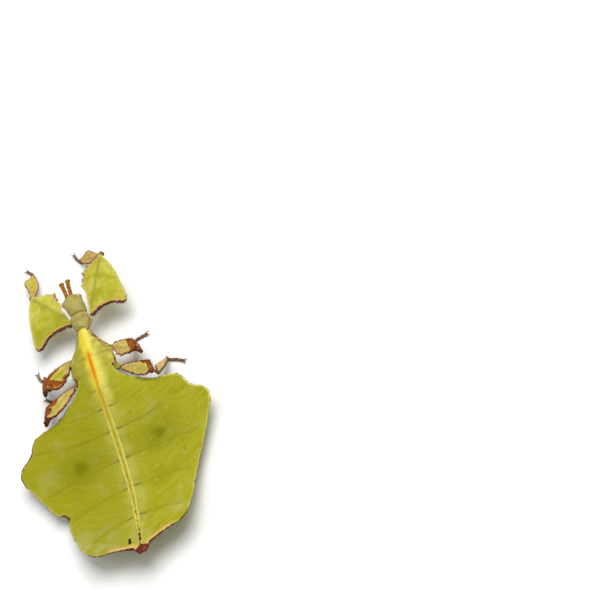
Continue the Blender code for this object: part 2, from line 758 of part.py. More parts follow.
def build_legs(plates):
    """All six legs, and the sockets that their hips sit in."""
    for leg, ((hip, root, knee), (ankle, toe, bow)) in LEGS.items():
        place, word = leg.split("_")
        side = 1 if word == "right" else -1
        femur_rows = {"fore": FORE_FEMUR, "mid": MID_FEMUR, "hind": HIND_FEMUR}[place]
        if place == "fore":
            thigh = np.array(knee) - np.array(root)
            shoulder = np.array(root) + thigh * femur_rows[0][0] / femur_rows[-1][0]
            radius, turn = FORE_COXA_RADIUS, side
        else:
            shoulder, radius, turn = np.array(root), COXA_RADIUS, -side
        make_object(f"coxa_{leg}", *coxa_shape(hip, shoulder, radius), THORAX_YELLOW)
        apply_boolean(plates[place], [piece(coxa_shape(hip, shoulder, radius, GAP))], "DIFFERENCE")
        tooth = 0.0 if place == "fore" else TOOTH
        shape = THIGH_SHAPES.get(leg, (1.0, 0.0, 0.0))
        femur(f"femur_{leg}", femur_rows, root, knee, turn, tooth, shape)
        widths = FORE_TIBIA if place == "fore" else REAR_TIBIA
        tibia(f"tibia_{leg}", widths, root, knee, ankle, 1 if place == "fore" else -1, RUST)
        tarsus(f"tarsus_{leg}", ankle, toe, bow, DARK_BROWN)


def tail_tip():
    """The last segments: a small pointed plate with two short cerci."""
    top, bottom = [], []
    for y, width in TAIL_ROWS:
        base = back_height(y) - BACK_DROP
        shares = (-1.0, -0.5, 0.0, 0.5, 1.0)
        top.append([(s * width, y, base + TAIL_CROWN * (1 - s * s)) for s in shares])
        bottom.append([(s * width, y, base - TAIL_DEPTH) for s in shares])
    tail = make_object("tail_tip", *sheet(top, bottom), MAROON)
    cerci = []
    for side in (-1, 1):
        line = [(side * out, y, height) for out, y, height, _ in CERCUS]
        cerci.append(piece(tube(line, [radius for *_, radius in CERCUS], 6)))
    apply_boolean(tail, cerci, "UNION")


build_head()
abdomen()
tail_tip()
build_legs(
    {
        "fore": plate("prothorax", PROTHORAX_ROWS, PALE_GREEN),
        "mid": plate("mesothorax", MESOTHORAX_ROWS, THORAX_YELLOW, keel=KEEL),
        "hind": plate("metathorax", METATHORAX_ROWS, THORAX_YELLOW, keel=KEEL),
    }
)
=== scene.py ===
"""Leaf insect, a late female nymph at life size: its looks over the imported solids.

All places are in the frame of the solids: the head looks along +Y, +Z is up, the floor is at zero.
Sizes are written in millimetres and multiplied by MM.
"""

import math
import random

import bmesh
import bpy
import numpy as np
from mathutils import Matrix, Vector, noise
from mathutils.bvhtree import BVHTree
from mathutils.kdtree import KDTree


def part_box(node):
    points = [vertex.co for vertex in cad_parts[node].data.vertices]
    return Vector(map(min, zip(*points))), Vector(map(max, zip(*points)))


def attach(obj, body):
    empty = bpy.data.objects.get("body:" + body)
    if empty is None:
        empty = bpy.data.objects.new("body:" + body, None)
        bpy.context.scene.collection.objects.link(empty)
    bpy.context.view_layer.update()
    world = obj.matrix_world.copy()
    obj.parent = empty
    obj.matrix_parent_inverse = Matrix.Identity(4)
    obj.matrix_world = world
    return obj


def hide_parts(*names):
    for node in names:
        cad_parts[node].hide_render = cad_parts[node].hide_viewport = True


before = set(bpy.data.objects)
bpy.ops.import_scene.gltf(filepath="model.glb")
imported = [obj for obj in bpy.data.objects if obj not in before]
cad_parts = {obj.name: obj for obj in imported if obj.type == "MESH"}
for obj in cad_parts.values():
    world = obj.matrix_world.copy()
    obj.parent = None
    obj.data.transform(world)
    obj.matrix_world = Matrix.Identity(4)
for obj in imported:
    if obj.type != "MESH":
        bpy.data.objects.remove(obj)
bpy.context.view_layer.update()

# The body: head, neck shield, thorax, hips, the leaf-shaped abdomen and the pointed tail.
# One waxy cuticle covers them and is drawn in at the joints between the segments.
# Copies of the solids are swollen until they touch, fused, and drawn back to size.
MM = 0.001
LEG_PLACES = ["fore", "mid", "hind"]
SIDES = ["left", "right"]
LEGS = [f"{place}_{side}" for place in LEG_PLACES for side in SIDES]
BODY_PARTS = ["head", "prothorax", "mesothorax", "metathorax", "abdomen", "tail_tip"]
BODY_PARTS += ["coxa_" + leg for leg in LEGS]
SWELL = 0.17 * MM
BODY_CELL = 0.214 * MM


def merged_solid(part):
    """A copy of one solid with its loose triangles merged."""
    copy = bmesh.new()
    copy.from_mesh(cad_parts[part].data)
    bmesh.ops.remove_doubles(copy, verts=copy.verts, dist=0.000001)
    return copy


def ball(centre, radius):
    """A closed ball that fills a socket or pads a toe, in millimetres."""
    made = bmesh.new()
    place = Matrix.Translation(Vector(centre) * MM)
    bmesh.ops.create_icosphere(made, subdivisions=3, radius=radius * MM, matrix=place)
    return made


def fused_skin(name, solids, cell):
    """One closed skin over (part, solid) pairs, and the part under each of its points."""
    mesh = bpy.data.meshes.new(name)
    together = bmesh.new()
    owners = []
    for part, solid in solids:
        solid.to_mesh(mesh)
        together.from_mesh(mesh)
        owners += [part] * len(solid.faces)
        solid.free()
    under = BVHTree.FromBMesh(together)
    together.to_mesh(mesh)
    together.free()
    skin = bpy.data.objects.new(name, mesh)
    bpy.context.scene.collection.objects.link(skin)
    bpy.ops.object.select_all(action="DESELECT")
    skin.select_set(True)
    bpy.context.view_layer.objects.active = skin
    grow = skin.modifiers.new("Swell", "DISPLACE")
    grow.mid_level, grow.strength = 0.0, SWELL
    fuse = skin.modifiers.new("Fuse", "REMESH")
    fuse.mode, fuse.voxel_size = "VOXEL", cell
    shrink = skin.modifiers.new("Draw back", "DISPLACE")
    shrink.mid_level, shrink.strength = 0.0, -SWELL
    soften = skin.modifiers.new("Soften", "CORRECTIVE_SMOOTH")
    soften.iterations, soften.factor, soften.use_only_smooth = 6, 0.5, True
    for modifier in list(skin.modifiers):
        bpy.ops.object.modifier_apply(modifier=modifier.name)
    below = [owners[under.find_nearest(corner.co)[2]] for corner in skin.data.vertices]
    return skin, np.array(below)


def corners_of(skin):
    """The places in millimetres and the normals of a skin's points."""
    count = len(skin.data.vertices)
    places, normals = np.empty(count * 3), np.empty(count * 3)
    skin.data.vertices.foreach_get("co", places)
    skin.data.vertex_normals.foreach_get("vector", normals)
    return places.reshape(-1, 3) / MM, normals.reshape(-1, 3)


def smooth_step(values, low, high):
    """Zero up to low, one from high, and a soft rise between."""
    t = np.clip((values - low) / (high - low), 0.0, 1.0)
    return t * t * (3 - 2 * t)


def hump(distance, width):
    """One where the distance is zero, with a soft fall on both sides."""
    return np.exp(-((distance / width) ** 2))


def edge_ends(skin):
    """The numbers of the two points of every edge."""
    ends = np.empty(len(skin.data.edges) * 2, np.int64)
    skin.data.edges.foreach_get("vertices", ends)
    return ends.reshape(-1, 2)


def spread_over(skin, values, rounds):
    """Softens a value by passing it on to the neighbouring points."""
    ends = edge_ends(skin)
    beside = np.bincount(ends.ravel(), minlength=len(values))
    for _ in range(rounds):
        total = np.bincount(ends[:, 0], values[ends[:, 1]], len(values))
        total += np.bincount(ends[:, 1], values[ends[:, 0]], len(values))
        values = (values + total / beside) / 2
    return values


def keep_on_skin(skin, named_values):
    """Stores values at each point, for the material to read."""
    for name, values in named_values.items():
        kept = skin.data.attributes.new(name, "FLOAT", "POINT")
        kept.data.foreach_set("value", values.astype(np.float32))


RIM_LIMIT = 4.0


def nearest_rim(places, within, rim):
    """The distance of each place within some parts to their nearest rim point, and its number."""
    corners = np.flatnonzero(within & rim)
    tree = KDTree(len(corners))
    for number, place in enumerate(places[corners]):
        tree.insert(place, number)
    tree.balance()
    found = [tree.find(place) for place in places]
    distance = np.minimum([one[2] for one in found], RIM_LIMIT)
    distance[~within] = RIM_LIMIT
    return distance, corners[[one[1] for one in found]]


def rough(places, size, seed=0.0):
    """Soft noise from -1 to 1, with lumps of about the given size."""
    return np.array([noise.noise(Vector(place / size) + Vector((seed, 0, 0))) for place in places])


def roughened(places, layers):
    """The sum of layers of soft noise, each with its height, size and seed."""
    return sum(height * rough(places, size, seed) for height, size, seed in layers)


def solid_corners(part):
    """The places of a solid's points in millimetres."""
    return np.array([corner.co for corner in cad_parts[part].data.vertices]) / MM


def centre_line(part, count):
    """Centres of a long solid's slices, from its rear end to its front end."""
    corners = solid_corners(part)
    rear, front = corners[np.argmin(corners[:, 1])], corners[np.argmax(corners[:, 1])]
    share = (corners - rear) @ (front - rear) / ((front - rear) @ (front - rear))
    share = (share - share.min()) / (share.max() - share.min())
    return [corners[np.abs(share - t) < 0.5 / count].mean(axis=0) for t in np.linspace(0.03, 0.97, count)]


# Balls close the sockets of the eyes and of the feelers
ANTENNA_SEGMENTS = 9
EYE_SEAT, ANTENNA_SEAT = 0.66, 0.5
eye_centres = {}
antenna_lines = {}
body_solids = [(part, merged_solid(part)) for part in BODY_PARTS]
for word in SIDES:
    low, high = (np.array(corner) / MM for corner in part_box("eye_" + word))
    eye_centres[word] = (low + high) / 2
    antenna_lines[word] = centre_line("antenna_" + word, ANTENNA_SEGMENTS)
    body_solids.append(("head", ball(eye_centres[word], EYE_SEAT)))
    body_solids.append(("head", ball(antenna_lines[word][0], ANTENNA_SEAT)))
body_skin, body_below = fused_skin("body_skin", body_solids, BODY_CELL)
places, normals = corners_of(body_skin)
across, along = np.abs(places[:, 0]), places[:, 1]
upper = smooth_step(normals[:, 2], 0.1, 0.5)
on_abdomen = np.isin(body_below, ["abdomen", "tail_tip"])
STEEP, RIM_FROM_MIDLINE, RIM_BEHIND = 0.45, 3.5, -27.5
steep = np.abs(normals[:, 2]) < STEEP
outside = (across > RIM_FROM_MIDLINE) | (along < RIM_BEHIND)
rim_distance, _ = nearest_rim(places, on_abdomen, steep & outside)

# The side edge of the thorax plates, above the breast
PLATES = ["prothorax", "mesothorax", "metathorax"]
FLANK_FLOOR, FLANK_FROM_MIDLINE = 5.4, 1.0
outside = (places[:, 2] > FLANK_FLOOR) & (across > FLANK_FROM_MIDLINE)
flank_distance, _ = nearest_rim(places, np.isin(body_below, PLATES), steep & outside)

# Each fold of the abdomen: where it leaves the midrib, how far out it ends, and where it ends
FOLDS = [
    (11.6, 3.4, 11.6),
    (6.9, 9.5, 7.3),
    (1.4, 19.5, 4.2),
    (-5.6, 18.8, -7.1),
    (-12.9, 14.8, -15.6),
    (-20.9, 11.0, -23.8),
]
FOLD_CURVE, FOLD_SAG = 2.2, 0.3
FOLD_START, FOLD_WIDTH, FOLD_HEIGHT = 0.9, 0.15, 0.08
FOLD_WOBBLE, FOLD_FADE = 0.12, 1.5
STEP_FADE, SHADE_FADE = 1.3, 1.8
fold_mark, fold_step, fold_shade = (np.zeros(len(places)) for _ in range(3))
for number, (root, out_end, end) in enumerate(FOLDS):
    share = np.clip(across / out_end, 0, 1)
    ended = smooth_step(across, out_end - FOLD_FADE, out_end)
    line = root + (end - root) * share**FOLD_CURVE - FOLD_SAG * np.sin(np.pi * share)
    past = along - line - FOLD_WOBBLE * rough(places, 1.6, number)
    reach = smooth_step(across, FOLD_START - 0.4, FOLD_START) * (1 - ended)
    fold_mark = np.maximum(fold_mark, reach * hump(past, FOLD_WIDTH))
    rise = smooth_step(past, -0.02, 0.25)
    fold_step += reach * np.where(past > 0, np.exp(-past / STEP_FADE), 0) * rise
    # Painted shade beside each fold, fading away from it on one side
    fold_shade += reach * np.where(past > 0, np.exp(-past / SHADE_FADE), 0)
fold_mark *= on_abdomen * upper
fold_shade *= on_abdomen * upper

# The plates of head and thorax are creased where they meet
SEAMED = ["head"] + PLATES
SEAM_DEPTH = 0.1
ends = edge_ends(body_skin)
crossing = body_below[ends[:, 0]] != body_below[ends[:, 1]]
between = np.isin(body_below[ends], SEAMED).all(axis=1) & crossing
seam = np.zeros(len(places))
seam[ends[between]] = 1.0
seam = spread_over(body_skin, seam, 2)

# The midrib is a low ridge with a groove along its top: (along, half the width between its two lines)
MIDRIB = [(-29.0, 0.26), (-22.0, 0.32), (-15.0, 0.5), (0.0, 0.6), (9.0, 0.5), (20.0, 0.5)]
RIB_WOBBLE = 0.12
LINE_HEIGHT, LINE_WIDTH = 0.1, 0.16
GROOVE_DEPTH, GROOVE_WIDTH = 0.09, 0.2
half_rib = np.interp(along, *zip(*MIDRIB)) + RIB_WOBBLE * rough(places, 1.5, 21.0)
on_rib = smooth_step(along, -29.5, -28.0) * (1 - smooth_step(along, 9.0, 11.0)) * upper
rib_lift = LINE_HEIGHT * hump(across - half_rib, LINE_WIDTH) - GROOVE_DEPTH * hump(across, GROOVE_WIDTH)

# Lids round the eyes, a cross of grooves on the neck shield, and grains there and along the flanks
LID_RADIUS, LID_WIDTH, LID_HEIGHT = 0.85, 0.14, 0.07
CROSS_WIDTH, CROSS_DEPTH, CROSS_SHARE = (0.14, 0.16), 0.06, 0.55
eye_away = np.min([np.linalg.norm(places - centre, axis=1) for centre in eye_centres.values()], axis=0)
lids = LID_HEIGHT * hump(eye_away - LID_RADIUS, LID_WIDTH)
shield = np.isin(body_below, ["prothorax"]) * upper
low, high = (np.array(corner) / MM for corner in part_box("prothorax"))
shield_middle = low[1] + CROSS_SHARE * (high[1] - low[1])
cross = np.maximum(hump(across, CROSS_WIDTH[0]), hump(along - shield_middle, CROSS_WIDTH[1]))
grainy = spread_over(body_skin, np.isin(body_below, ["head", "prothorax"]) * 1.0, 4)
GRAIN_HEIGHT, FLANK_GRAIN_HEIGHT = 0.06, 0.12
by_flank = 1 - smooth_step(flank_distance, 0.0, 0.5)
grains = grainy * GRAIN_HEIGHT * np.maximum(rough(places, 0.36, 9.0), 0)
grains += FLANK_GRAIN_HEIGHT * by_flank * np.maximum(rough(places, 0.5, 14.0), 0)

# Soft waves and fine creases, a bitten rim, and a leaf that thins towards its edge
WAVE_HEIGHT, WAVE_SIZE = 0.16, 7.0
CREASES = [(0.045, 1.9, 3.0), (0.022, 0.8, 5.0)]
NIBBLES = [(0.13, 0.9, 11.0), (0.06, 0.4, 2.0)]
RIM_THINNING, THINNING_REACH = 0.26, 2.6


def thinned(rim_distance, normals, reach):
    """How far the underside of a leaf rises towards its rim."""
    return (1 - smooth_step(rim_distance, 0.0, reach)) * RIM_THINNING * (1 - normals[:, 2]) / 2


def reshaped(skin, places, normals, lift, rise):
    """Moves a skin's points along their normals and upwards, and keeps them above the floor."""
    places = places + normals * lift[:, None]
    places[:, 2] = np.maximum(places[:, 2] + rise, 0.0)
    skin.data.vertices.foreach_set("co", (places * MM).ravel())
    skin.data.update()
    bpy.ops.object.shade_smooth()
    return places


creases = roughened(places, CREASES) * (1 - 0.6 * grainy)
nibbles = roughened(places, NIBBLES) * (1 - smooth_step(rim_distance, 0.1, 0.6))
lift = FOLD_HEIGHT * fold_step * upper * on_abdomen + on_rib * rib_lift + creases
lift += grains + nibbles + lids - SEAM_DEPTH * seam - CROSS_DEPTH * shield * cross
waves = WAVE_HEIGHT * rough(places, WAVE_SIZE) * smooth_step(across, 2, 8) * on_abdomen
thinning = thinned(rim_distance, normals, THINNING_REACH)
reshaped(body_skin, places, normals, lift, waves + thinning)

chest_parts = ["mesothorax", "metathorax"] + ["coxa_" + leg for leg in LEGS]
on_chest = np.isin(body_below, chest_parts) * 1.0
on_hips = np.char.startswith(body_below, "coxa") * 1.0
body_values = {
    "rim": rim_distance,
    "flank": flank_distance,
    "fold": fold_mark,
    "shade": fold_shade,
    "seam": seam,
    "top": upper,
    "pale": grainy,
    "chest": spread_over(body_skin, on_chest, 3),
    "hips": spread_over(body_skin, on_hips, 3),
    "half_rib": half_rib,
}
keep_on_skin(body_skin, body_values)
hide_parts(*BODY_PARTS)
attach(body_skin, "root")


def node(tree, kind, inputs=None, **settings):
    """A shader node. Its inputs are numbers, colours or other nodes' sockets."""
    made = tree.nodes.new("ShaderNode" + kind)
    for key, value in settings.items():
        setattr(made, key, value)
    for key, value in (inputs or {}).items():
        if isinstance(value, bpy.types.NodeSocket):
            tree.links.new(value, made.inputs[key])
        else:
            made.inputs[key].default_value = value
    return made


def calc(tree, operation, *values):
    """The result of one sum."""
    return node(tree, "Math", dict(enumerate(values)), operation=operation).outputs[0]


def product(tree, *masks):
    """Several masks multiplied together."""
    total = masks[0]
    for mask in masks[1:]:
        total = calc(tree, "MULTIPLY", total, mask)
    return total


def opposite(tree, mask):
    """One where the mask is zero, and zero where it is one."""
    return calc(tree, "SUBTRACT", 1.0, mask)


def gap(tree, value, other):
    """How far two values lie from each other."""
    return calc(tree, "ABSOLUTE", calc(tree, "SUBTRACT", value, other))


def plus_part(tree, value, other, part):
    """A value with a part of another one added."""
    return calc(tree, "ADD", value, calc(tree, "MULTIPLY", other, part))


def ramp(tree, value, low, high):
    """A soft mask that rises from low to high."""
    spread = {"Value": value, "From Min": low, "From Max": high}
    return node(tree, "MapRange", spread, interpolation_type="SMOOTHSTEP").outputs[0]


def paint(tree, under, over, mask):
    """Lays one colour over another where the mask is one."""
    under = (*under, 1) if isinstance(under, tuple) else under
    over = (*over, 1) if isinstance(over, tuple) else over
    return node(tree, "Mix", {0: mask, 6: under, 7: over}, data_type="RGBA").outputs[2]


def painted(tree, under, layers):
    """Lays colours one over another, each where all of its masks are one."""
    for over, *masks in layers:
        under = paint(tree, under, over, product(tree, *masks))
    return under


def lumps(tree, place, size, detail=2.0, seed=0.0):
    """Cloudy noise whose lumps are about size millimetres wide."""
    inputs = {"Vector": place, "W": seed, "Scale": 1 / size, "Detail": detail}
    return node(tree, "TexNoise", inputs, noise_dimensions="4D").outputs[0]


def stored(tree, name):
    """A value kept on the skin."""
    return node(tree, "Attribute", attribute_name=name).outputs["Fac"]


def new_group(name, inputs, outputs):
    """An empty shader group, its input node and its output node."""
    tree = bpy.data.node_groups.new(name, "ShaderNodeTree")
    for label, kind in inputs.items():
        tree.interface.new_socket(label, in_out="INPUT", socket_type="NodeSocket" + kind)
    for label, kind in outputs.items():
        tree.interface.new_socket(label, in_out="OUTPUT", socket_type="NodeSocket" + kind)
    return tree, tree.nodes.new("NodeGroupInput"), tree.nodes.new("NodeGroupOutput")


# Place in millimetres, for every pattern on the insect
place_group, _, place_out = new_group("place_mm", {}, {"Place": "Vector"})
object_place = node(place_group, "TexCoord").outputs["Object"]
in_mm = node(place_group, "Mapping", {"Vector": object_place, "Scale": (1 / MM,) * 3}).outputs[0]
place_group.links.new(in_mm, place_out.inputs[0])

# Leaf flesh: yellow-green with darker clouds, pale flecks and a faint net of veins
leaf_inputs = {"Place": "Vector", "Dark": "Color", "Main": "Color", "Light": "Color"}
leaf_outputs = {"Color": "Color", "Height": "Float"}
leaf_group, leaf_in, leaf_out = new_group("leaf_flesh", leaf_inputs, leaf_outputs)
where = leaf_in.outputs["Place"]
clouds = lumps(leaf_group, where, 5.5, 3.0)
flecks = lumps(leaf_group, where, 1.1, 4.0, 4.0)
cells = node(leaf_group, "TexVoronoi", {"Vector": where, "Scale": 1.1}, feature="DISTANCE_TO_EDGE").outputs[0]
net = ramp(leaf_group, cells, 0.1, 0.0)
dark_clouds = product(leaf_group, ramp(leaf_group, clouds, 0.5, 0.78), 0.6)
light_clouds = product(leaf_group, ramp(leaf_group, clouds, 0.48, 0.25), 0.6)
flesh = paint(leaf_group, leaf_in.outputs["Main"], leaf_in.outputs["Dark"], dark_clouds)
flesh = paint(leaf_group, flesh, leaf_in.outputs["Light"], light_clouds)
fleck_mask = product(leaf_group, ramp(leaf_group, flecks, 0.52, 0.72), 0.4)
flesh = paint(leaf_group, flesh, leaf_in.outputs["Light"], fleck_mask)
flesh = paint(leaf_group, flesh, leaf_in.outputs["Dark"], product(leaf_group, net, 0.22))
leaf_group.links.new(flesh, leaf_out.inputs["Color"])
fine = product(leaf_group, lumps(leaf_group, where, 0.3, 3.0, 8.0), 0.6)
relief = calc(leaf_group, "SUBTRACT", fine, product(leaf_group, net, 0.35))
leaf_group.links.new(relief, leaf_out.inputs["Height"])


def leaf_flesh(tree, place, dark, main, light):
    """The colour and the relief of leaf flesh in three tones."""
    inputs = {"Place": place, "Dark": (*dark, 1), "Main": (*main, 1), "Light": (*light, 1)}
    return node(tree, "Group", inputs, node_tree=leaf_group).outputs


# The shine of waxy and of hard cuticle, and how rough waxy cuticle is
SATIN, GLOSSY = 0.05, 0.5
WAXY = 0.55


def cuticle(name, roughness, shine=SATIN):
    """A new material, its tree and the place in millimetres."""
    material = bpy.data.materials.new(name)
    material.use_nodes = True
    tree = material.node_tree
    shader = tree.nodes["Principled BSDF"]
    shader.inputs["Roughness"].default_value = roughness
    shader.inputs["Specular IOR Level"].default_value = shine
    return material, tree, node(tree, "Group", node_tree=place_group).outputs[0]


def finish_cuticle(tree, colour, height, depth):
    """Joins the colour, and a relief of the given depth in millimetres, to the shader."""
    shader = tree.nodes["Principled BSDF"]
    bump = node(tree, "Bump", {"Height": height, "Distance": depth * MM, "Strength": 1.0})
    tree.links.new(bump.outputs[0], shader.inputs["Normal"])
    tree.links.new(colour, shader.inputs["Base Color"])


LEAF_DARK, LEAF_MAIN, LEAF_LIGHT = (0.245, 0.232, 0.004), (0.333, 0.318, 0.01), (0.42, 0.415, 0.11)
body_cuticle, tree, place = cuticle("body_cuticle", WAXY)
leaf = leaf_flesh(tree, place, LEAF_DARK, LEAF_MAIN, LEAF_LIGHT)
axes = node(tree, "SeparateXYZ", {0: place}).outputs
side, forward = axes[0], axes[1]
out = calc(tree, "ABSOLUTE", side)
ragged = calc(tree, "SUBTRACT", lumps(tree, place, 0.8, 3.0, 1.0), 0.5)
soft = calc(tree, "SUBTRACT", lumps(tree, place, 2.6, 2.0, 31.0), 0.5)
ragged_rim = calc(tree, "ADD", stored(tree, "rim"), ragged)
fold, shade, pale, chest, top = (stored(tree, name) for name in ("fold", "shade", "pale", "chest", "top"))
leafy = opposite(tree, calc(tree, "MAXIMUM", pale, chest))

# Each layer is a colour and the masks that say where it covers the layers before it
layers = []

# Fine streaks run along the folds, the left half is darkened a little with painted shade, and its hind corner
# is whitish
STREAK_PALE, CORNER_PALE = (0.41, 0.4, 0.07), (0.38, 0.38, 0.13)
streak_on = calc(tree, "SUBTRACT", forward, product(tree, out, 0.35))
streak_parts = {"X": product(tree, out, 0.3), "Y": product(tree, streak_on, 1.6), "Z": 0.0}
streaks = lumps(tree, node(tree, "CombineXYZ", streak_parts).outputs[0], 1.6, 3.0, 51.0)
layers.append((STREAK_PALE, ramp(tree, streaks, 0.48, 0.66), 0.22))
layers.append((LEAF_DARK, ramp(tree, streaks, 0.5, 0.34), 0.22))
layers.append((LEAF_DARK, ramp(tree, side, 2.0, -5.0), leafy, 0.42))
corner = product(tree, ramp(tree, forward, -15.0, -25.0), ramp(tree, side, -1.0, -9.0), 0.6)
corner = product(tree, corner, ramp(tree, lumps(tree, place, 3.0, 3.0, 71.0), 0.35, 0.6))
layers.append((CORNER_PALE, corner))

# A paler, greyish strip lies on both sides of the midrib
STRIP_PALE, STRIP_GREY = (0.42, 0.4, 0.08), (0.24, 0.235, 0.045)
soft_out = plus_part(tree, out, soft, 5.0)
strip = product(tree, ramp(tree, soft_out, 3.2, 0.8), leafy, 0.6)
layers.append((STRIP_PALE, strip))
grey_lumps = ramp(tree, lumps(tree, place, 1.5, 3.0, 17.0), 0.48, 0.68)
layers.append((STRIP_GREY, grey_lumps, strip))

# Two dark spots with soft halos, one on each side of the abdomen
SPOT_OUT, SPOT_FORWARD = 9.1, -3.45
SPOT_DARK = (0.165, 0.172, 0.0)
spot_x = product(tree, calc(tree, "SUBTRACT", out, SPOT_OUT), 0.8)
spot_y = calc(tree, "SUBTRACT", forward, SPOT_FORWARD)
spot_away = calc(tree, "ADD", product(tree, spot_x, spot_x), product(tree, spot_y, spot_y))
spot_away = plus_part(tree, calc(tree, "SQRT", spot_away), soft, 2.6)
halo = product(tree, ramp(tree, spot_away, 7.5, 1.0), 0.45)
core = ramp(tree, spot_away, 3.3, 0.2)
layers.append((SPOT_DARK, calc(tree, "MAXIMUM", halo, core), leafy))

# The folds are darker lines, nearly grey close to the midrib, and painted shade darkens the leaf beside each
# fold
FOLD_DARK, FOLD_GREY = (0.2, 0.18, 0.004), (0.075, 0.08, 0.03)
layers.append((FOLD_DARK, shade, 0.28))
layers.append((FOLD_DARK, fold, 0.32))
layers.append((FOLD_GREY, ramp(tree, soft_out, 2.6, 1.5), fold, 0.9))

# Thorax: green flanks with painted shade on the left, a bright yellow back that is deeper on the left and
# paler on the right
CHEST_GREEN, CHEST_PALE, CHEST_OLIVE = (0.37, 0.335, 0.03), (0.53, 0.5, 0.1), (0.23, 0.2, 0.02)
YELLOW_DEEP, YELLOW_PALE = (0.7, 0.56, 0.03), (0.7, 0.62, 0.12)
chest_lumps = ramp(tree, lumps(tree, place, 1.5, 3.0, 2.0), 0.4, 0.68)
chest_colour = paint(tree, CHEST_GREEN, CHEST_PALE, chest_lumps)
olive_lumps = product(tree, ramp(tree, lumps(tree, place, 2.2, 3.0, 6.0), 0.5, 0.74), 0.8)
chest_colour = paint(tree, chest_colour, CHEST_OLIVE, olive_lumps)
# Painted shade: the green of the thorax turns olive towards its left side
left_painted_shade = product(tree, ramp(tree, side, 0.0, -3.0), 0.4)
chest_colour = paint(tree, chest_colour, CHEST_OLIVE, left_painted_shade)
layers.append((chest_colour, chest))
yellow = paint(tree, YELLOW_DEEP, YELLOW_PALE, ramp(tree, calc(tree, "ADD", side, soft), -0.5, 0.7))
front_patch = ramp(tree, plus_part(tree, out, soft, 1.6), 1.9, 0.5)
front_patch = product(tree, front_patch, ramp(tree, forward, 20.5, 22.0), opposite(tree, pale))
rear_out = plus_part(tree, gap(tree, side, 0.5), soft, 1.5)
rear_patch = product(tree, ramp(tree, rear_out, 2.6, 0.5), ramp(tree, forward, 4.0, 16.0), 0.85)
rear_patch = product(tree, rear_patch, ramp(tree, forward, 22.5, 20.5))
layers.append((yellow, calc(tree, "MAXIMUM", front_patch, rear_patch)))
HIP_PINK = (0.42, 0.24, 0.09)
hip_lumps = ramp(tree, lumps(tree, place, 0.8, 3.0, 19.0), 0.4, 0.6)
layers.append((HIP_PINK, stored(tree, "hips"), hip_lumps))

# Head and neck shield: pale and grainy, with greenish clouds and pinkish grains
HEAD_PALE, HEAD_GREEN, HEAD_PINK = (0.39, 0.335, 0.1), (0.27, 0.235, 0.055), (0.42, 0.27, 0.12)
head_colour = paint(tree, HEAD_GREEN, HEAD_PALE, ramp(tree, lumps(tree, place, 1.5, 3.0, 3.0), 0.28, 0.62))
pink_grains = product(tree, ramp(tree, lumps(tree, place, 0.6, 4.0, 7.0), 0.56, 0.7), 0.45)
head_colour = paint(tree, head_colour, HEAD_PINK, pink_grains)
layers.append((head_colour, pale))

# Creases between the plates, brown at the neck and faint on the thorax, and a pink and brown
# grain along the sides of the thorax, broadest on the right shoulder
CREASE_BROWN, FLANK_PINK, RIM_BROWN = (0.13, 0.085, 0.02), (0.55, 0.33, 0.13), (0.085, 0.033, 0.009)
layers.append((CREASE_BROWN, stored(tree, "seam"), plus_part(tree, 0.25, pale, 0.7)))
shoulder_width = product(tree, ramp(tree, side, 0.5, 1.5), ramp(tree, forward, 20.0, 22.0), 0.5)
ragged_flank = calc(tree, "SUBTRACT", stored(tree, "flank"), shoulder_width)
on_flank = ramp(tree, plus_part(tree, ragged_flank, ragged, 1.4), 0.55, 0.15)
not_neck = opposite(tree, product(tree, pale, 0.6))
layers.append((FLANK_PINK, on_flank, not_neck, 0.75))
flank_dots = ramp(tree, lumps(tree, place, 0.5, 2.0, 23.0), 0.46, 0.58)
left_edge = product(tree, ramp(tree, side, -0.5, -1.5), ramp(tree, forward, 16.0, 19.0))
flank_dots = calc(tree, "MAXIMUM", flank_dots, left_edge)
layers.append((RIM_BROWN, on_flank, flank_dots, not_neck))

# The midline: an orange stripe on the thorax, then two cream lines with a golden groove between
ORANGE, AMBER, GOLD_BROWN = (0.6, 0.2, 0.006), (0.7, 0.44, 0.03), (0.44, 0.26, 0.016)
GOLDEN, CREAM, GROOVE = (0.45, 0.39, 0.035), (0.6, 0.54, 0.11), (0.3, 0.22, 0.02)
wavy_out = plus_part(tree, out, ragged, 0.4)
past_line = calc(tree, "SUBTRACT", wavy_out, stored(tree, "half_rib"))
rear_part = product(tree, ramp(tree, forward, 14.0, 8.0), top)
layers.append((GOLDEN, ramp(tree, past_line, 0.2, 0.0), rear_part, 0.8))
dull = ramp(tree, lumps(tree, place, 1.7, 2.0, 41.0), 0.3, 0.6)
groove = product(tree, ramp(tree, wavy_out, 0.34, 0.12), rear_part, calc(tree, "ADD", 0.3, dull))
layers.append((GROOVE, groove, 0.65))
cream_line = ramp(tree, calc(tree, "ABSOLUTE", past_line), 0.26, 0.05)
cream_line = product(tree, cream_line, rear_part, ramp(tree, forward, 9.0, 2.0))
broken = ramp(tree, lumps(tree, place, 2.2, 2.0, 81.0), 0.35, 0.6)
layers.append((CREAM, cream_line, plus_part(tree, 0.35, broken, 0.6)))
thin_line = product(tree, ramp(tree, wavy_out, 0.36, 0.14), ramp(tree, forward, 2.0, 6.0), top)
layers.append((GOLD_BROWN, thin_line, ramp(tree, forward, 17.0, 13.0), 0.85))
stripe_on = product(tree, ramp(tree, forward, 11.0, 15.5), ramp(tree, forward, 21.8, 20.2), top)
faint_on = product(tree, ramp(tree, forward, 20.0, 21.0), ramp(tree, forward, 27.0, 23.0), top, 0.3)
layers.append((AMBER, ramp(tree, wavy_out, 0.9, 0.35), stripe_on))
deep_stripe = ramp(tree, wavy_out, 0.46, 0.16)
layers.append((ORANGE, deep_stripe, stripe_on))
layers.append((AMBER, deep_stripe, faint_on))
DASH_BROWN = (0.13, 0.045, 0.01)
dashes = ramp(tree, lumps(tree, place, 1.3, 1.0, 5.0), 0.5, 0.58)
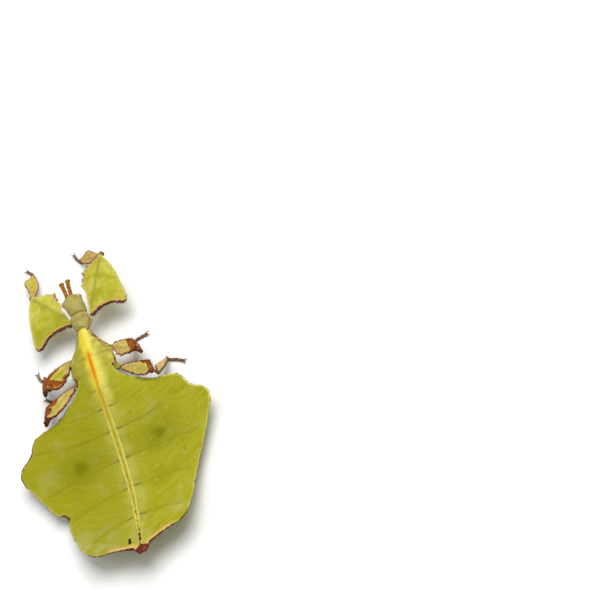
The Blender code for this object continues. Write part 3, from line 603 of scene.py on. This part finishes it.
layers.append((DASH_BROWN, dashes, ramp(tree, forward, -17.0, -21.0), ramp(tree, wavy_out, 0.42, 0.2), top))

# The rim: a cream line with a thin brown edge that comes and goes. It is brown all along behind,
# on the left shoulder and in the nick of the left side
RIM_OLIVE, RIM_CREAM, RIM_PEACH = (0.3, 0.22, 0.04), (0.58, 0.54, 0.18), (0.62, 0.4, 0.11)
MAROON = (0.12, 0.022, 0.01)
cream_corner = product(tree, ramp(tree, side, 13.0, 16.0), ramp(tree, forward, -3.0, 1.0))
cream_share = calc(tree, "ADD", 0.35, cream_corner)
layers.append((RIM_CREAM, ramp(tree, ragged_rim, 0.6, 0.15), leafy, cream_share))
thin_edge = ramp(tree, plus_part(tree, stored(tree, "rim"), ragged, 0.5), 0.12, 0.0)
layers.append((RIM_OLIVE, thin_edge, leafy, 0.7))
behind = ramp(tree, forward, -24.5, -27.0)
peach = ramp(tree, ragged_rim, 1.5, 0.7)
layers.append((RIM_PEACH, peach, behind, top, ramp(tree, out, 9.0, 5.5), leafy))
NICK_FORWARD = -13.6
shoulder = product(tree, ramp(tree, forward, -4.0, -1.0), ramp(tree, side, -5.0, -8.0))
from_nick = gap(tree, forward, NICK_FORWARD)
nicked = product(tree, ramp(tree, from_nick, 1.5, 0.9), ramp(tree, side, -9.0, -11.0))
specks = product(tree, ramp(tree, lumps(tree, place, 1.4, 2.0, 12.0), 0.58, 0.66), 0.9)
brown_edge = ramp(tree, plus_part(tree, stored(tree, "rim"), ragged, 0.7), 0.38, 0.14)
brown_places = calc(tree, "MAXIMUM", behind, calc(tree, "MAXIMUM", shoulder, specks))
nick_edge = product(tree, ramp(tree, ragged_rim, 0.6, 0.3), nicked)
scorched = calc(tree, "MAXIMUM", product(tree, brown_edge, brown_places), nick_edge)
layers.append((RIM_BROWN, scorched, leafy))
SCAR_SIDE, SCAR_FORWARD, SCAR_BLACK = -2.4, -27.0, (0.02, 0.014, 0.005)
scar = ramp(tree, plus_part(tree, gap(tree, side, SCAR_SIDE), ragged, 0.5), 0.48, 0.24)
layers.append((SCAR_BLACK, scar, ramp(tree, gap(tree, forward, SCAR_FORWARD), 1.0, 0.6), top))
tail_line = plus_part(tree, forward, out, 0.6)
tail = ramp(tree, calc(tree, "ADD", tail_line, ragged), -28.9, -29.3)
TAIL_LIGHT = (0.23, 0.06, 0.022)
tail_colour = paint(tree, MAROON, TAIL_LIGHT, ramp(tree, lumps(tree, place, 0.7, 2.0, 9.0), 0.5, 0.65))
layers.append((tail_colour, tail))

LEAF_RELIEF = 0.05
finish_cuticle(tree, painted(tree, leaf["Color"], layers), leaf["Height"], LEAF_RELIEF)
body_skin.data.materials.append(body_cuticle)

# The eyes: small tan domes of many six-sided facets, seated in lids on the sides of the head.
# They are clear cuticle over brown, glossier than the skin around them.
# A ball of triangles is turned into its dual, and each facet is raised a little.
EYE_CREAM, EYE_GOLD, EYE_BROWN = (0.6, 0.44, 0.24), (0.46, 0.28, 0.08), (0.26, 0.14, 0.06)
FACET_LINE, FACET_RISE = 0.006, 0.006
facets = bpy.data.node_groups.new("facets", "GeometryNodeTree")
for way in ("INPUT", "OUTPUT"):
    facets.interface.new_socket("Geometry", in_out=way, socket_type="NodeSocketGeometry")
ball_in, dual, ball_out = (
    facets.nodes.new(kind) for kind in ("NodeGroupInput", "GeometryNodeDualMesh", "NodeGroupOutput")
)
facets.links.new(ball_in.outputs[0], dual.inputs[0])
facets.links.new(dual.outputs[0], ball_out.inputs[0])
eye_cuticle, tree, place = cuticle("eye_cuticle", 0.25, GLOSSY)
eye_side = node(tree, "SeparateXYZ", {0: place}).outputs[0]
eye_colour = paint(tree, EYE_GOLD, EYE_CREAM, ramp(tree, eye_side, -1.0, 1.0))
eye_colour = paint(tree, eye_colour, EYE_BROWN, ramp(tree, lumps(tree, place, 0.5, 2.0, 3.0), 0.45, 0.66))
finish_cuticle(tree, eye_colour, lumps(tree, place, 0.08, 2.0, 5.0), 0.01)
for word in SIDES:
    low, high = (Vector(corner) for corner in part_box("eye_" + word))
    bpy.ops.mesh.primitive_ico_sphere_add(subdivisions=5, radius=1.0, location=(low + high) / 2)
    eye = bpy.context.object
    eye.name = "eye_dome_" + word
    eye.scale = (high - low) / 2
    eye.modifiers.new("Facets", "NODES").node_group = facets
    bpy.ops.object.modifier_apply(modifier="Facets")
    bpy.ops.object.transform_apply(location=True, rotation=True, scale=True)
    bpy.ops.object.mode_set(mode="EDIT")
    bpy.ops.mesh.select_all(action="SELECT")
    bpy.ops.mesh.inset(thickness=FACET_LINE * MM, depth=FACET_RISE * MM, use_individual=True)
    bpy.ops.object.mode_set(mode="OBJECT")
    eye.data.materials.append(eye_cuticle)
    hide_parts("eye_" + word)
    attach(eye, "root")

# The feelers: nine short bead-like joints of amber-brown cuticle, each with a ring of bristles.
# The first joint sits in the brow and the last one ends in a blunt knob.
# Every joint is a cylinder with rounded ends, turned along the feeler.
FEELER_RADII = (0.5, 0.46)
FEELER_KNOB = 0.6
JOINT_OVERLAP, JOINT_ROUNDING = 1.06, 0.38
BRISTLES_PER_JOINT = 9
BRISTLE_LENGTH, BRISTLE_RADIUS = 0.2, 0.016
BRISTLE_SEAT, BRISTLE_SPREAD, BRISTLE_LEAN = 0.94, 0.1, 0.8
SPINE_TIP = 0.15
random.seed(7)


def spines(name, stems):
    """One mesh of five-sided spines from (root, direction, length, radius) in millimetres."""
    shape = bmesh.new()
    for root, way, length, radius in stems:
        way = Vector(way).normalized()
        middle = Vector(root) + way * length / 2
        place = Matrix.LocRotScale(middle * MM, way.to_track_quat("Z", "Y"), None)
        sizes = {"radius1": radius * MM, "radius2": radius * SPINE_TIP * MM, "depth": length * MM}
        bmesh.ops.create_cone(shape, cap_ends=True, cap_tris=True, segments=5, matrix=place, **sizes)
    mesh = bpy.data.meshes.new(name)
    shape.to_mesh(mesh)
    shape.free()
    made = bpy.data.objects.new(name, mesh)
    bpy.context.scene.collection.objects.link(made)
    return made


AMBER_BROWN, AMBER_LIGHT, AMBER_DARK = (0.36, 0.125, 0.012), (0.6, 0.32, 0.035), (0.15, 0.042, 0.006)
feeler_cuticle, tree, place = cuticle("feeler_cuticle", 0.45)
light_spots = ramp(tree, lumps(tree, place, 0.5, 3.0, 2.0), 0.48, 0.64)
feeler_colour = paint(tree, AMBER_BROWN, AMBER_LIGHT, light_spots)
dark_spots = ramp(tree, lumps(tree, place, 0.6, 3.0, 8.0), 0.52, 0.68)
feeler_colour = paint(tree, feeler_colour, AMBER_DARK, dark_spots)
finish_cuticle(tree, feeler_colour, lumps(tree, place, 0.12, 3.0, 5.0), 0.03)
for word in SIDES:
    line = [Vector(point) for point in antenna_lines[word]]
    joints, stems = [], []
    for i, middle in enumerate(line):
        way = (line[min(i + 1, len(line) - 1)] - line[max(i - 1, 0)]).normalized()
        share = i / (len(line) - 1)
        radius = FEELER_RADII[0] + (FEELER_RADII[1] - FEELER_RADII[0]) * math.sin(math.pi * share)
        radius = FEELER_KNOB if i == len(line) - 1 else radius
        length = (line[1] - line[0]).length * JOINT_OVERLAP
        turn = way.to_track_quat("Z", "Y").to_euler()
        sizes = {"vertices": 24, "radius": radius * MM, "depth": length * MM}
        bpy.ops.mesh.primitive_cylinder_add(location=middle * MM, rotation=turn, **sizes)
        joint = bpy.context.object
        rounding = joint.modifiers.new("Rounding", "BEVEL")
        rounding.width, rounding.segments = length * JOINT_ROUNDING * MM, 4
        bpy.ops.object.modifier_apply(modifier="Rounding")
        joints.append(joint)
        for _ in range(BRISTLES_PER_JOINT):
            angle = random.uniform(0, 2 * math.pi)
            sideways = way.to_track_quat("Z", "Y") @ Vector((math.cos(angle), math.sin(angle), 0))
            root = middle + sideways * radius * BRISTLE_SEAT
            root += way * random.uniform(-BRISTLE_SPREAD, BRISTLE_SPREAD)
            stems.append((root, sideways + way * BRISTLE_LEAN, BRISTLE_LENGTH, BRISTLE_RADIUS))
    joints.append(spines("bristles_" + word, stems))
    bpy.ops.object.select_all(action="DESELECT")
    for joint in joints:
        joint.select_set(True)
    bpy.context.view_layer.objects.active = joints[0]
    bpy.ops.object.join()
    feeler = bpy.context.object
    feeler.name = "feeler_" + word
    bpy.ops.object.transform_apply(location=True, rotation=True, scale=True)
    bpy.ops.object.shade_smooth()
    feeler.data.materials.append(feeler_cuticle)
    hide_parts("antenna_" + word)
    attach(feeler, "root")

# The legs: thighs with leafy rims, lobed shins and jointed feet, in the same cuticle.
# Most shins and parts of the rear thighs are rust brown, the right shins pinkish, the feet dark.
# The feet are cut off before their claws, which are pieces of their own.
LEG_CELL = 0.13 * MM
CLAW_LENGTH = 0.85
TOE_PAD = 0.3
BONES = ("femur", "tibia", "tarsus")


def meeting_place(part, other):
    """The middle of the narrow gap between two solids, in millimetres."""
    solid = merged_solid(other)
    tree = BVHTree.FromBMesh(solid)
    solid.free()
    found = [(tree.find_nearest(Vector(corner) * MM), corner) for corner in solid_corners(part)]
    nearest, corner = min(found, key=lambda one: one[0][3])
    return (np.array(nearest[0]) / MM + corner) / 2


def last_toe(foot, ankle):
    """The end of a foot before its claws, and the way in which it points, from the tips of its two claws."""
    corners = solid_corners(foot)[:, :2]
    away = np.linalg.norm(corners - ankle[:2], axis=1)
    first = corners[np.argmax(away)]
    apart = np.linalg.norm(corners - first, axis=1) > CLAW_LENGTH
    second = corners[np.argmax(np.where(apart, away, 0))]
    ahead = np.array([second[1] - first[1], first[0] - second[0]])
    middle = (first + second) / 2
    ahead *= np.sign(ahead @ (middle - ankle[:2])) / np.linalg.norm(ahead)
    return middle - ahead * CLAW_LENGTH, ahead


leg_solids = []
knees, ankles, roots, toes = {}, {}, {}, {}
for leg in LEGS:
    knees[leg] = meeting_place("femur_" + leg, "tibia_" + leg)
    ankles[leg] = meeting_place("tibia_" + leg, "tarsus_" + leg)
    roots[leg] = meeting_place("coxa_" + leg, "femur_" + leg)
    toe, ahead = toes[leg] = last_toe("tarsus_" + leg, ankles[leg])
    for bone in BONES:
        leg_solids.append((f"{bone}_{leg}", merged_solid(f"{bone}_{leg}")))
    foot = leg_solids[-1][1]
    cut_at, cut_way = Vector((*toe, 0)) * MM, Vector((*ahead, 0))
    everything = foot.verts[:] + foot.edges[:] + foot.faces[:]
    bmesh.ops.bisect_plane(foot, geom=everything, plane_co=cut_at, plane_no=cut_way, clear_outer=True)
    bmesh.ops.holes_fill(foot, edges=[edge for edge in foot.edges if edge.is_boundary])
    leg_solids.append(("tarsus_" + leg, ball((*(toe + ahead * 0.1), TOE_PAD), TOE_PAD)))
leg_skin, leg_below = fused_skin("leg_skin", leg_solids, LEG_CELL)
places, normals = corners_of(leg_skin)
on_thigh = np.char.startswith(leg_below, "femur")
on_leaf = on_thigh | np.char.startswith(leg_below, "tibia")
STEEP_ON_LEGS = 0.5
steep = np.abs(normals[:, 2]) < STEEP_ON_LEGS
rim_distance, rim_number = nearest_rim(places, on_leaf, steep)
rim_facing = normals[rim_number]

# The rust on a rear thigh: from how far along it the whole end is rust, then the width of the rust
# along its front and its rear edge, and where those edges begin
RUST_PLACES = {
    "mid_left": (6.1, 0.9, 0.9, 2.6),
    "mid_right": (6.5, 1.5, 0.0, 3.4),
    "hind_left": (9.6, 1.4, 0.25, 4.2),
    "hind_right": (8.8, 1.0, 0.0, 4.8),
}
# How rust brown and how pale pink each shin is, and how pale pink each rear thigh is
SHIN_RUST = {"mid_left": 1.0, "mid_right": 0.6, "hind_left": 1.0, "hind_right": 0.15}
SHIN_RUST |= {"fore_left": 0.34, "fore_right": 0.4}
SHIN_BLUSH = {"fore_right": 0.5, "fore_left": 0.25, "mid_right": 1.0, "hind_right": 1.0}
THIGH_BLUSH = {"mid_right": 0.48, "hind_right": 0.42, "mid_left": 0.36, "hind_left": 0.4}
VEIN_SPACING, VEIN_SLANT = 2.6, 0.75
VEIN_WIDTH, MIDVEIN_WIDTH = 0.16, 0.4
# The rear edges of the fore thighs are the most scorched of all, and the left fore thigh deepens
# in colour away from its knee
FORE_SCORCH, BITE_SCORCH, SHIN_SCORCH, REAR_SCORCH = 1.6, 0.8, 0.7, 0.8
DEEP_SHARE, DEEP_FROM_KNEE = 0.65, (6.0, 11.0)
rust, blush, dark, scorch, vein, deep = (np.zeros(len(places)) for _ in range(6))
for leg in LEGS:
    knee, root = knees[leg], roots[leg]
    from_ankle = np.linalg.norm(places - ankles[leg], axis=1)
    thigh, shin, foot = (leg_below == f"{bone}_{leg}" for bone in BONES)
    shaft = (knee - root) / np.linalg.norm(knee - root)
    up_shaft = (places - root) @ shaft
    ahead_of = (places - root)[:, :2] @ (np.array([-shaft[1], shaft[0]]) * np.sign(shaft[0]))
    off_shaft = np.linalg.norm((places - root) - up_shaft[:, None] * shaft, axis=1)
    dark[foot] = 1.0
    blush[shin] = SHIN_BLUSH.get(leg, 0.0)
    if "fore" in leg:
        rust[shin] = np.maximum(1 - smooth_step(from_ankle, 0.6, 2.0), SHIN_RUST[leg])[shin]
        inward = -1.0 if "right" in leg else 1.0
        rear = smooth_step(-rim_facing[:, 1], 0.2, 0.6)
        bite = smooth_step(rim_facing[:, 0] * inward, 0.2, 0.6) * smooth_step(places[:, 1], 38.0, 41.0)
        scorch[thigh] = np.maximum(FORE_SCORCH * rear, BITE_SCORCH * bite)[thigh]
        scorch[shin] = SHIN_SCORCH
    else:
        whole_end, front_width, rear_width, edges_from = RUST_PLACES[leg]
        rust[shin] = SHIN_RUST[leg]
        end = smooth_step(up_shaft - 0.4 * ahead_of, whole_end - 0.4, whole_end + 0.4)
        width = np.where(ahead_of > 0, front_width, rear_width)
        width = width * smooth_step(up_shaft, edges_from - 0.6, edges_from + 1.6)
        edge = 1 - smooth_step(rim_distance - width, -0.2, 0.2)
        rust[thigh] = np.maximum(end, edge * (width > 0.05))[thigh]
        pale_end = smooth_step(up_shaft, 6.2, 7.2) * (1 - smooth_step(rim_distance, 0.5, 1.1))
        pale_end = np.maximum(pale_end * (leg == "mid_right"), THIGH_BLUSH[leg])
        blush[thigh] = pale_end[thigh]
        scorch[thigh | shin] = REAR_SCORCH
    from_vein = (up_shaft - VEIN_SLANT * off_shaft) / VEIN_SPACING
    from_vein = np.abs(from_vein - np.round(from_vein)) * VEIN_SPACING
    veins = np.maximum(0.4 * hump(from_vein, VEIN_WIDTH), hump(ahead_of, MIDVEIN_WIDTH))
    vein[thigh] = (veins * smooth_step(rim_distance, 0.2, 1.0))[thigh]
rust, blush, dark = (spread_over(leg_skin, values, 3) for values in (rust, blush, dark))

# The torn edges, the fine creases and the raised veins
TORN_EDGE = [(0.13, 0.7, 1.0), (0.07, 0.33, 4.0)]
LEG_CREASES = [(0.035, 1.2, 7.0), (0.02, 0.5, 8.0)]
VEIN_HEIGHT = 0.05
ragged_edge = (1 - smooth_step(rim_distance, 0.1, 0.5)) * (0.4 + 0.6 * scorch) * on_thigh
lift = ragged_edge * roughened(places, TORN_EDGE) + roughened(places, LEG_CREASES)
lift += VEIN_HEIGHT * vein * smooth_step(normals[:, 2], 0.1, 0.5)
THIGH_THINNING_REACH = 1.6
thinning = thinned(rim_distance, normals, THIGH_THINNING_REACH) * on_thigh
places = reshaped(leg_skin, places, normals, lift, thinning)
deep[leg_below == "femur_fore_left"] = DEEP_SHARE
deep *= smooth_step(np.linalg.norm(places - knees["fore_left"], axis=1), *DEEP_FROM_KNEE)
leg_values = {"rim": rim_distance, "rust": rust, "blush": blush, "dark": dark}
leg_values |= {"scorch": scorch, "vein": vein, "deep": deep}
keep_on_skin(leg_skin, leg_values)
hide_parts(*[f"{bone}_{leg}" for bone in BONES for leg in LEGS])
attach(leg_skin, "root")

THIGH_DARK, THIGH_MAIN, THIGH_LIGHT = (0.33, 0.31, 0.01), (0.44, 0.415, 0.035), (0.58, 0.54, 0.12)
RUST_DARK, RUST_MAIN, RUST_LIGHT = (0.09, 0.015, 0.004), (0.26, 0.065, 0.01), (0.42, 0.18, 0.035)
BLUSH_CREAM, BLUSH_PINK = (0.6, 0.42, 0.18), (0.42, 0.2, 0.09)
FOOT_DARK, FOOT_GREY = (0.11, 0.06, 0.032), (0.3, 0.2, 0.12)
THIGH_DEEP, VEIN_GREY, FRINGE_PINK = (0.28, 0.27, 0.004), (0.29, 0.28, 0.045), (0.58, 0.32, 0.14)
leg_cuticle, tree, place = cuticle("leg_cuticle", WAXY)
leaf = leaf_flesh(tree, place, THIGH_DARK, THIGH_MAIN, THIGH_LIGHT)
ragged = calc(tree, "SUBTRACT", lumps(tree, place, 0.6, 4.0, 1.0), 0.5)
ragged_rim = calc(tree, "ADD", stored(tree, "rim"), ragged)
scorch_here = stored(tree, "scorch")
patches = lumps(tree, place, 2.4, 3.0, 61.0)
layers = [(THIGH_LIGHT, ramp(tree, patches, 0.46, 0.64), 0.6)]
layers.append((THIGH_DARK, ramp(tree, patches, 0.5, 0.36), 0.7))
layers.append((THIGH_DEEP, stored(tree, "deep")))
layers.append((VEIN_GREY, stored(tree, "vein"), 0.8))
blush_lumps = ramp(tree, lumps(tree, place, 0.8, 3.0, 21.0), 0.45, 0.62)
blush_mask = ramp(tree, plus_part(tree, stored(tree, "blush"), ragged, 0.8), 0.35, 0.65)
layers.append((paint(tree, BLUSH_CREAM, BLUSH_PINK, blush_lumps), blush_mask))
layers.append((RIM_CREAM, ramp(tree, ragged_rim, 0.6, 0.15), 0.6))
layers.append((FRINGE_PINK, ramp(tree, ragged_rim, 1.1, 0.5), scorch_here, 0.75))
rust_lumps = lumps(tree, place, 1.0, 3.0, 2.0)
rust_colour = paint(tree, RUST_MAIN, RUST_DARK, ramp(tree, rust_lumps, 0.48, 0.7))
light_lumps = ramp(tree, lumps(tree, place, 0.9, 3.0, 9.0), 0.52, 0.68)
rust_colour = paint(tree, rust_colour, RUST_LIGHT, light_lumps)
rust_mask = ramp(tree, plus_part(tree, stored(tree, "rust"), ragged, 1.1), 0.35, 0.65)
layers.append((rust_colour, rust_mask))
scorched_rim = calc(tree, "SUBTRACT", ragged_rim, product(tree, scorch_here, 0.35))
layers.append((RIM_BROWN, ramp(tree, scorched_rim, 0.06, -0.2), scorch_here))
foot_lumps = ramp(tree, lumps(tree, place, 0.5, 2.0, 3.0), 0.4, 0.58)
foot_colour = paint(tree, FOOT_DARK, FOOT_GREY, foot_lumps)
layers.append((foot_colour, stored(tree, "dark")))
finish_cuticle(tree, painted(tree, leaf["Color"], layers), leaf["Height"], LEAF_RELIEF)
leg_skin.data.materials.append(leg_cuticle)

# The fringe: fine brown teeth along the ragged edges of the thighs, as in a torn dry leaf.
# They are hard cuticle and grow from the rim of the skin, pointing outwards.
# They are set at random places, no two closer than the spacing.
FRINGE_SPACING, FRINGE_RADIUS = 0.3, 0.08
FRINGE_LENGTHS = (0.2, 0.6)
FRINGE_LEAN, FRINGE_SEAT = 0.3, 0.06
chosen = []
torn_edge = list(np.flatnonzero(on_thigh & (rim_distance == 0) & (scorch > 0.5)))
for number in random.sample(torn_edge, len(torn_edge)):
    if all(np.linalg.norm(places[number] - places[other]) > FRINGE_SPACING for other in chosen):
        chosen.append(number)
stems = []
for number in chosen:
    way = normals[number] * np.array([1, 1, 0.3])
    length = random.uniform(*FRINGE_LENGTHS)
    root = places[number] - way * FRINGE_SEAT
    way = way + np.array([random.uniform(-FRINGE_LEAN, FRINGE_LEAN) for _ in range(3)])
    stems.append((root, way, length, FRINGE_RADIUS))
fringe = spines("fringe", stems)
fringe_cuticle, tree, place = cuticle("fringe_cuticle", WAXY)
fringe_lumps = ramp(tree, lumps(tree, place, 0.5, 2.0, 2.0), 0.5, 0.62)
fringe_colour = paint(tree, RIM_BROWN, FRINGE_PINK, fringe_lumps)
finish_cuticle(tree, fringe_colour, lumps(tree, place, 0.1, 2.0, 5.0), 0.02)
fringe.data.materials.append(fringe_cuticle)
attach(fringe, "root")

# The claws: two curved brown hooks at the end of each foot, hard and shiny.
# They grow from the last toe on both sides of its pad and rest on their tips.
# Each is a curve whose thickness falls to a point, made a mesh.
CLAW_THICK, CLAW_OUT = 0.13, 0.55

# The points of a hook: shares of its length and of its spread, its height and its thickness
HOOK = [
    (-0.35, 0.12, 0.36, 1.0),
    (0.1, 0.25, 0.55, 1.0),
    (0.5, 0.7, 0.62, 0.75),
    (0.85, 0.95, 0.4, 0.4),
    (0.98, 1.0, 0.04, 0.08),
]
bpy.ops.curve.primitive_bezier_curve_add(location=(0, 0, 0))
claws = bpy.context.object
claws.name = "claws"
claws.data.splines.clear()
claws.data.dimensions = "3D"
claws.data.bevel_depth = CLAW_THICK * MM
claws.data.bevel_resolution = 3
claws.data.use_fill_caps = True
for leg in LEGS:
    toe, ahead = toes[leg]
    aside = np.array([-ahead[1], ahead[0]])
    for sign in (-1, 1):
        hook = claws.data.splines.new("NURBS")
        hook.points.add(len(HOOK) - 1)
        for point, (on, apart, height, thick) in zip(hook.points, HOOK):
            flat = toe + ahead * on * CLAW_LENGTH + aside * sign * apart * CLAW_OUT
            point.co = (*(flat * MM), height * MM, 1.0)
            point.radius = thick
        hook.order_u = 4
        hook.use_endpoint_u = True
        hook.resolution_u = 6
bpy.ops.object.convert(target="MESH")
bpy.ops.object.shade_smooth()
CLAW_BROWN, CLAW_TAN = (0.045, 0.018, 0.008), (0.17, 0.075, 0.03)
claw_horn, tree, place = cuticle("claw_horn", 0.3, GLOSSY)
claw_colour = paint(tree, CLAW_BROWN, CLAW_TAN, ramp(tree, lumps(tree, place, 0.6, 2.0, 2.0), 0.45, 0.62))
finish_cuticle(tree, claw_colour, lumps(tree, place, 0.15, 2.0, 5.0), 0.01)
claws.data.materials.append(claw_horn)
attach(claws, "root")

# The floor, the lamps and the camera: a plain pale floor under soft light, seen as in the picture.
# The camera looks down on the back from behind and a little from the right.
# It is turned about its own axis so that the tail and the sides lie as they do there.
FLOOR_SIZE, FLOOR_GREY = 3.0, (0.86, 0.86, 0.86, 1)
floor_finish = bpy.data.materials.new("floor")
floor_finish.use_nodes = True
floor_shader = floor_finish.node_tree.nodes["Principled BSDF"]
floor_shader.inputs["Base Color"].default_value = FLOOR_GREY
floor_shader.inputs["Roughness"].default_value = 0.9
bpy.ops.mesh.primitive_plane_add(size=FLOOR_SIZE, location=(0, 0, 0))
floor = bpy.context.object
floor.name = "floor"
floor.data.materials.append(floor_finish)

PHOTO_SIZE = 600
LENS = 135.0
SENSOR = 36.0
FOCAL_PIXELS = PHOTO_SIZE * LENS / SENSOR
PIXEL = 0.2115 * MM
LEAN_BACK, LEAN_RIGHT = 0.58, 0.23
TAIL_ANGLE, SIDE_ANGLE = 74.7, -25.0
SEEN_AT = (114.8, 435.5)
BACK_POINT = Vector((0.0, 0.0, 4.2 * MM))
to_camera = Vector((LEAN_RIGHT, -LEAN_BACK, math.sqrt(1 - LEAN_BACK**2 - LEAN_RIGHT**2)))
level = Vector((0, 0, 1)).cross(to_camera).normalized()
upward = to_camera.cross(level)


def picture_angle(direction):
    """The angle of a direction in the unturned picture, in degrees, clockwise from the right."""
    return math.degrees(math.atan2(-direction.dot(upward), direction.dot(level)))


def turn_between(wanted, found):
    """The shorter turn from one angle to the other, in degrees."""
    return (wanted - found + 180) % 360 - 180


tail_turn = turn_between(TAIL_ANGLE, picture_angle(Vector((0, -1, 0))))
side_turn = turn_between(SIDE_ANGLE, picture_angle(Vector((1, 0, 0))))
roll = math.radians((tail_turn + side_turn) / 2)
right = math.cos(roll) * level + math.sin(roll) * upward
over = -math.sin(roll) * level + math.cos(roll) * upward
middle = PHOTO_SIZE / 2
look = Vector(((SEEN_AT[0] - middle) / FOCAL_PIXELS, (middle - SEEN_AT[1]) / FOCAL_PIXELS, -1.0))
turned = Vector((0, 0, -1)).rotation_difference(look.normalized()).to_matrix()
facing = Matrix((right, over, to_camera)).transposed() @ turned.transposed()
camera = bpy.data.objects.new("camera", bpy.data.cameras.new("camera"))
camera.data.lens = LENS
camera.data.sensor_width = SENSOR
camera.data.clip_start, camera.data.clip_end = 0.01, 10.0
camera_place = BACK_POINT + to_camera * PIXEL * FOCAL_PIXELS * look.length
camera.matrix_world = Matrix.LocRotScale(camera_place, facing.to_quaternion(), None)
bpy.context.scene.collection.objects.link(camera)
bpy.context.scene.camera = camera

SKY_LIGHT, LAMP_SIZE = 0.45, 0.6
world = bpy.data.worlds.new("studio")
bpy.context.scene.world = world
world.use_nodes = True
sky = world.node_tree.nodes["Background"]
sky.inputs["Color"].default_value = (1.0, 1.0, 1.0, 1)
sky.inputs["Strength"].default_value = SKY_LIGHT
for name, place, energy in (("key_light", (0.2, 0.16, 0.68), 5.3), ("fill_light", (-0.4, 0.15, 0.5), 0.5)):
    light = bpy.data.objects.new(name, bpy.data.lights.new(name, "AREA"))
    light.data.size, light.data.energy = LAMP_SIZE, energy
    light.location = place
    light.rotation_euler = (-Vector(place)).to_track_quat("-Z", "Y").to_euler()
    bpy.context.scene.collection.objects.link(light)
bpy.context.scene.view_settings.view_transform = "Standard"
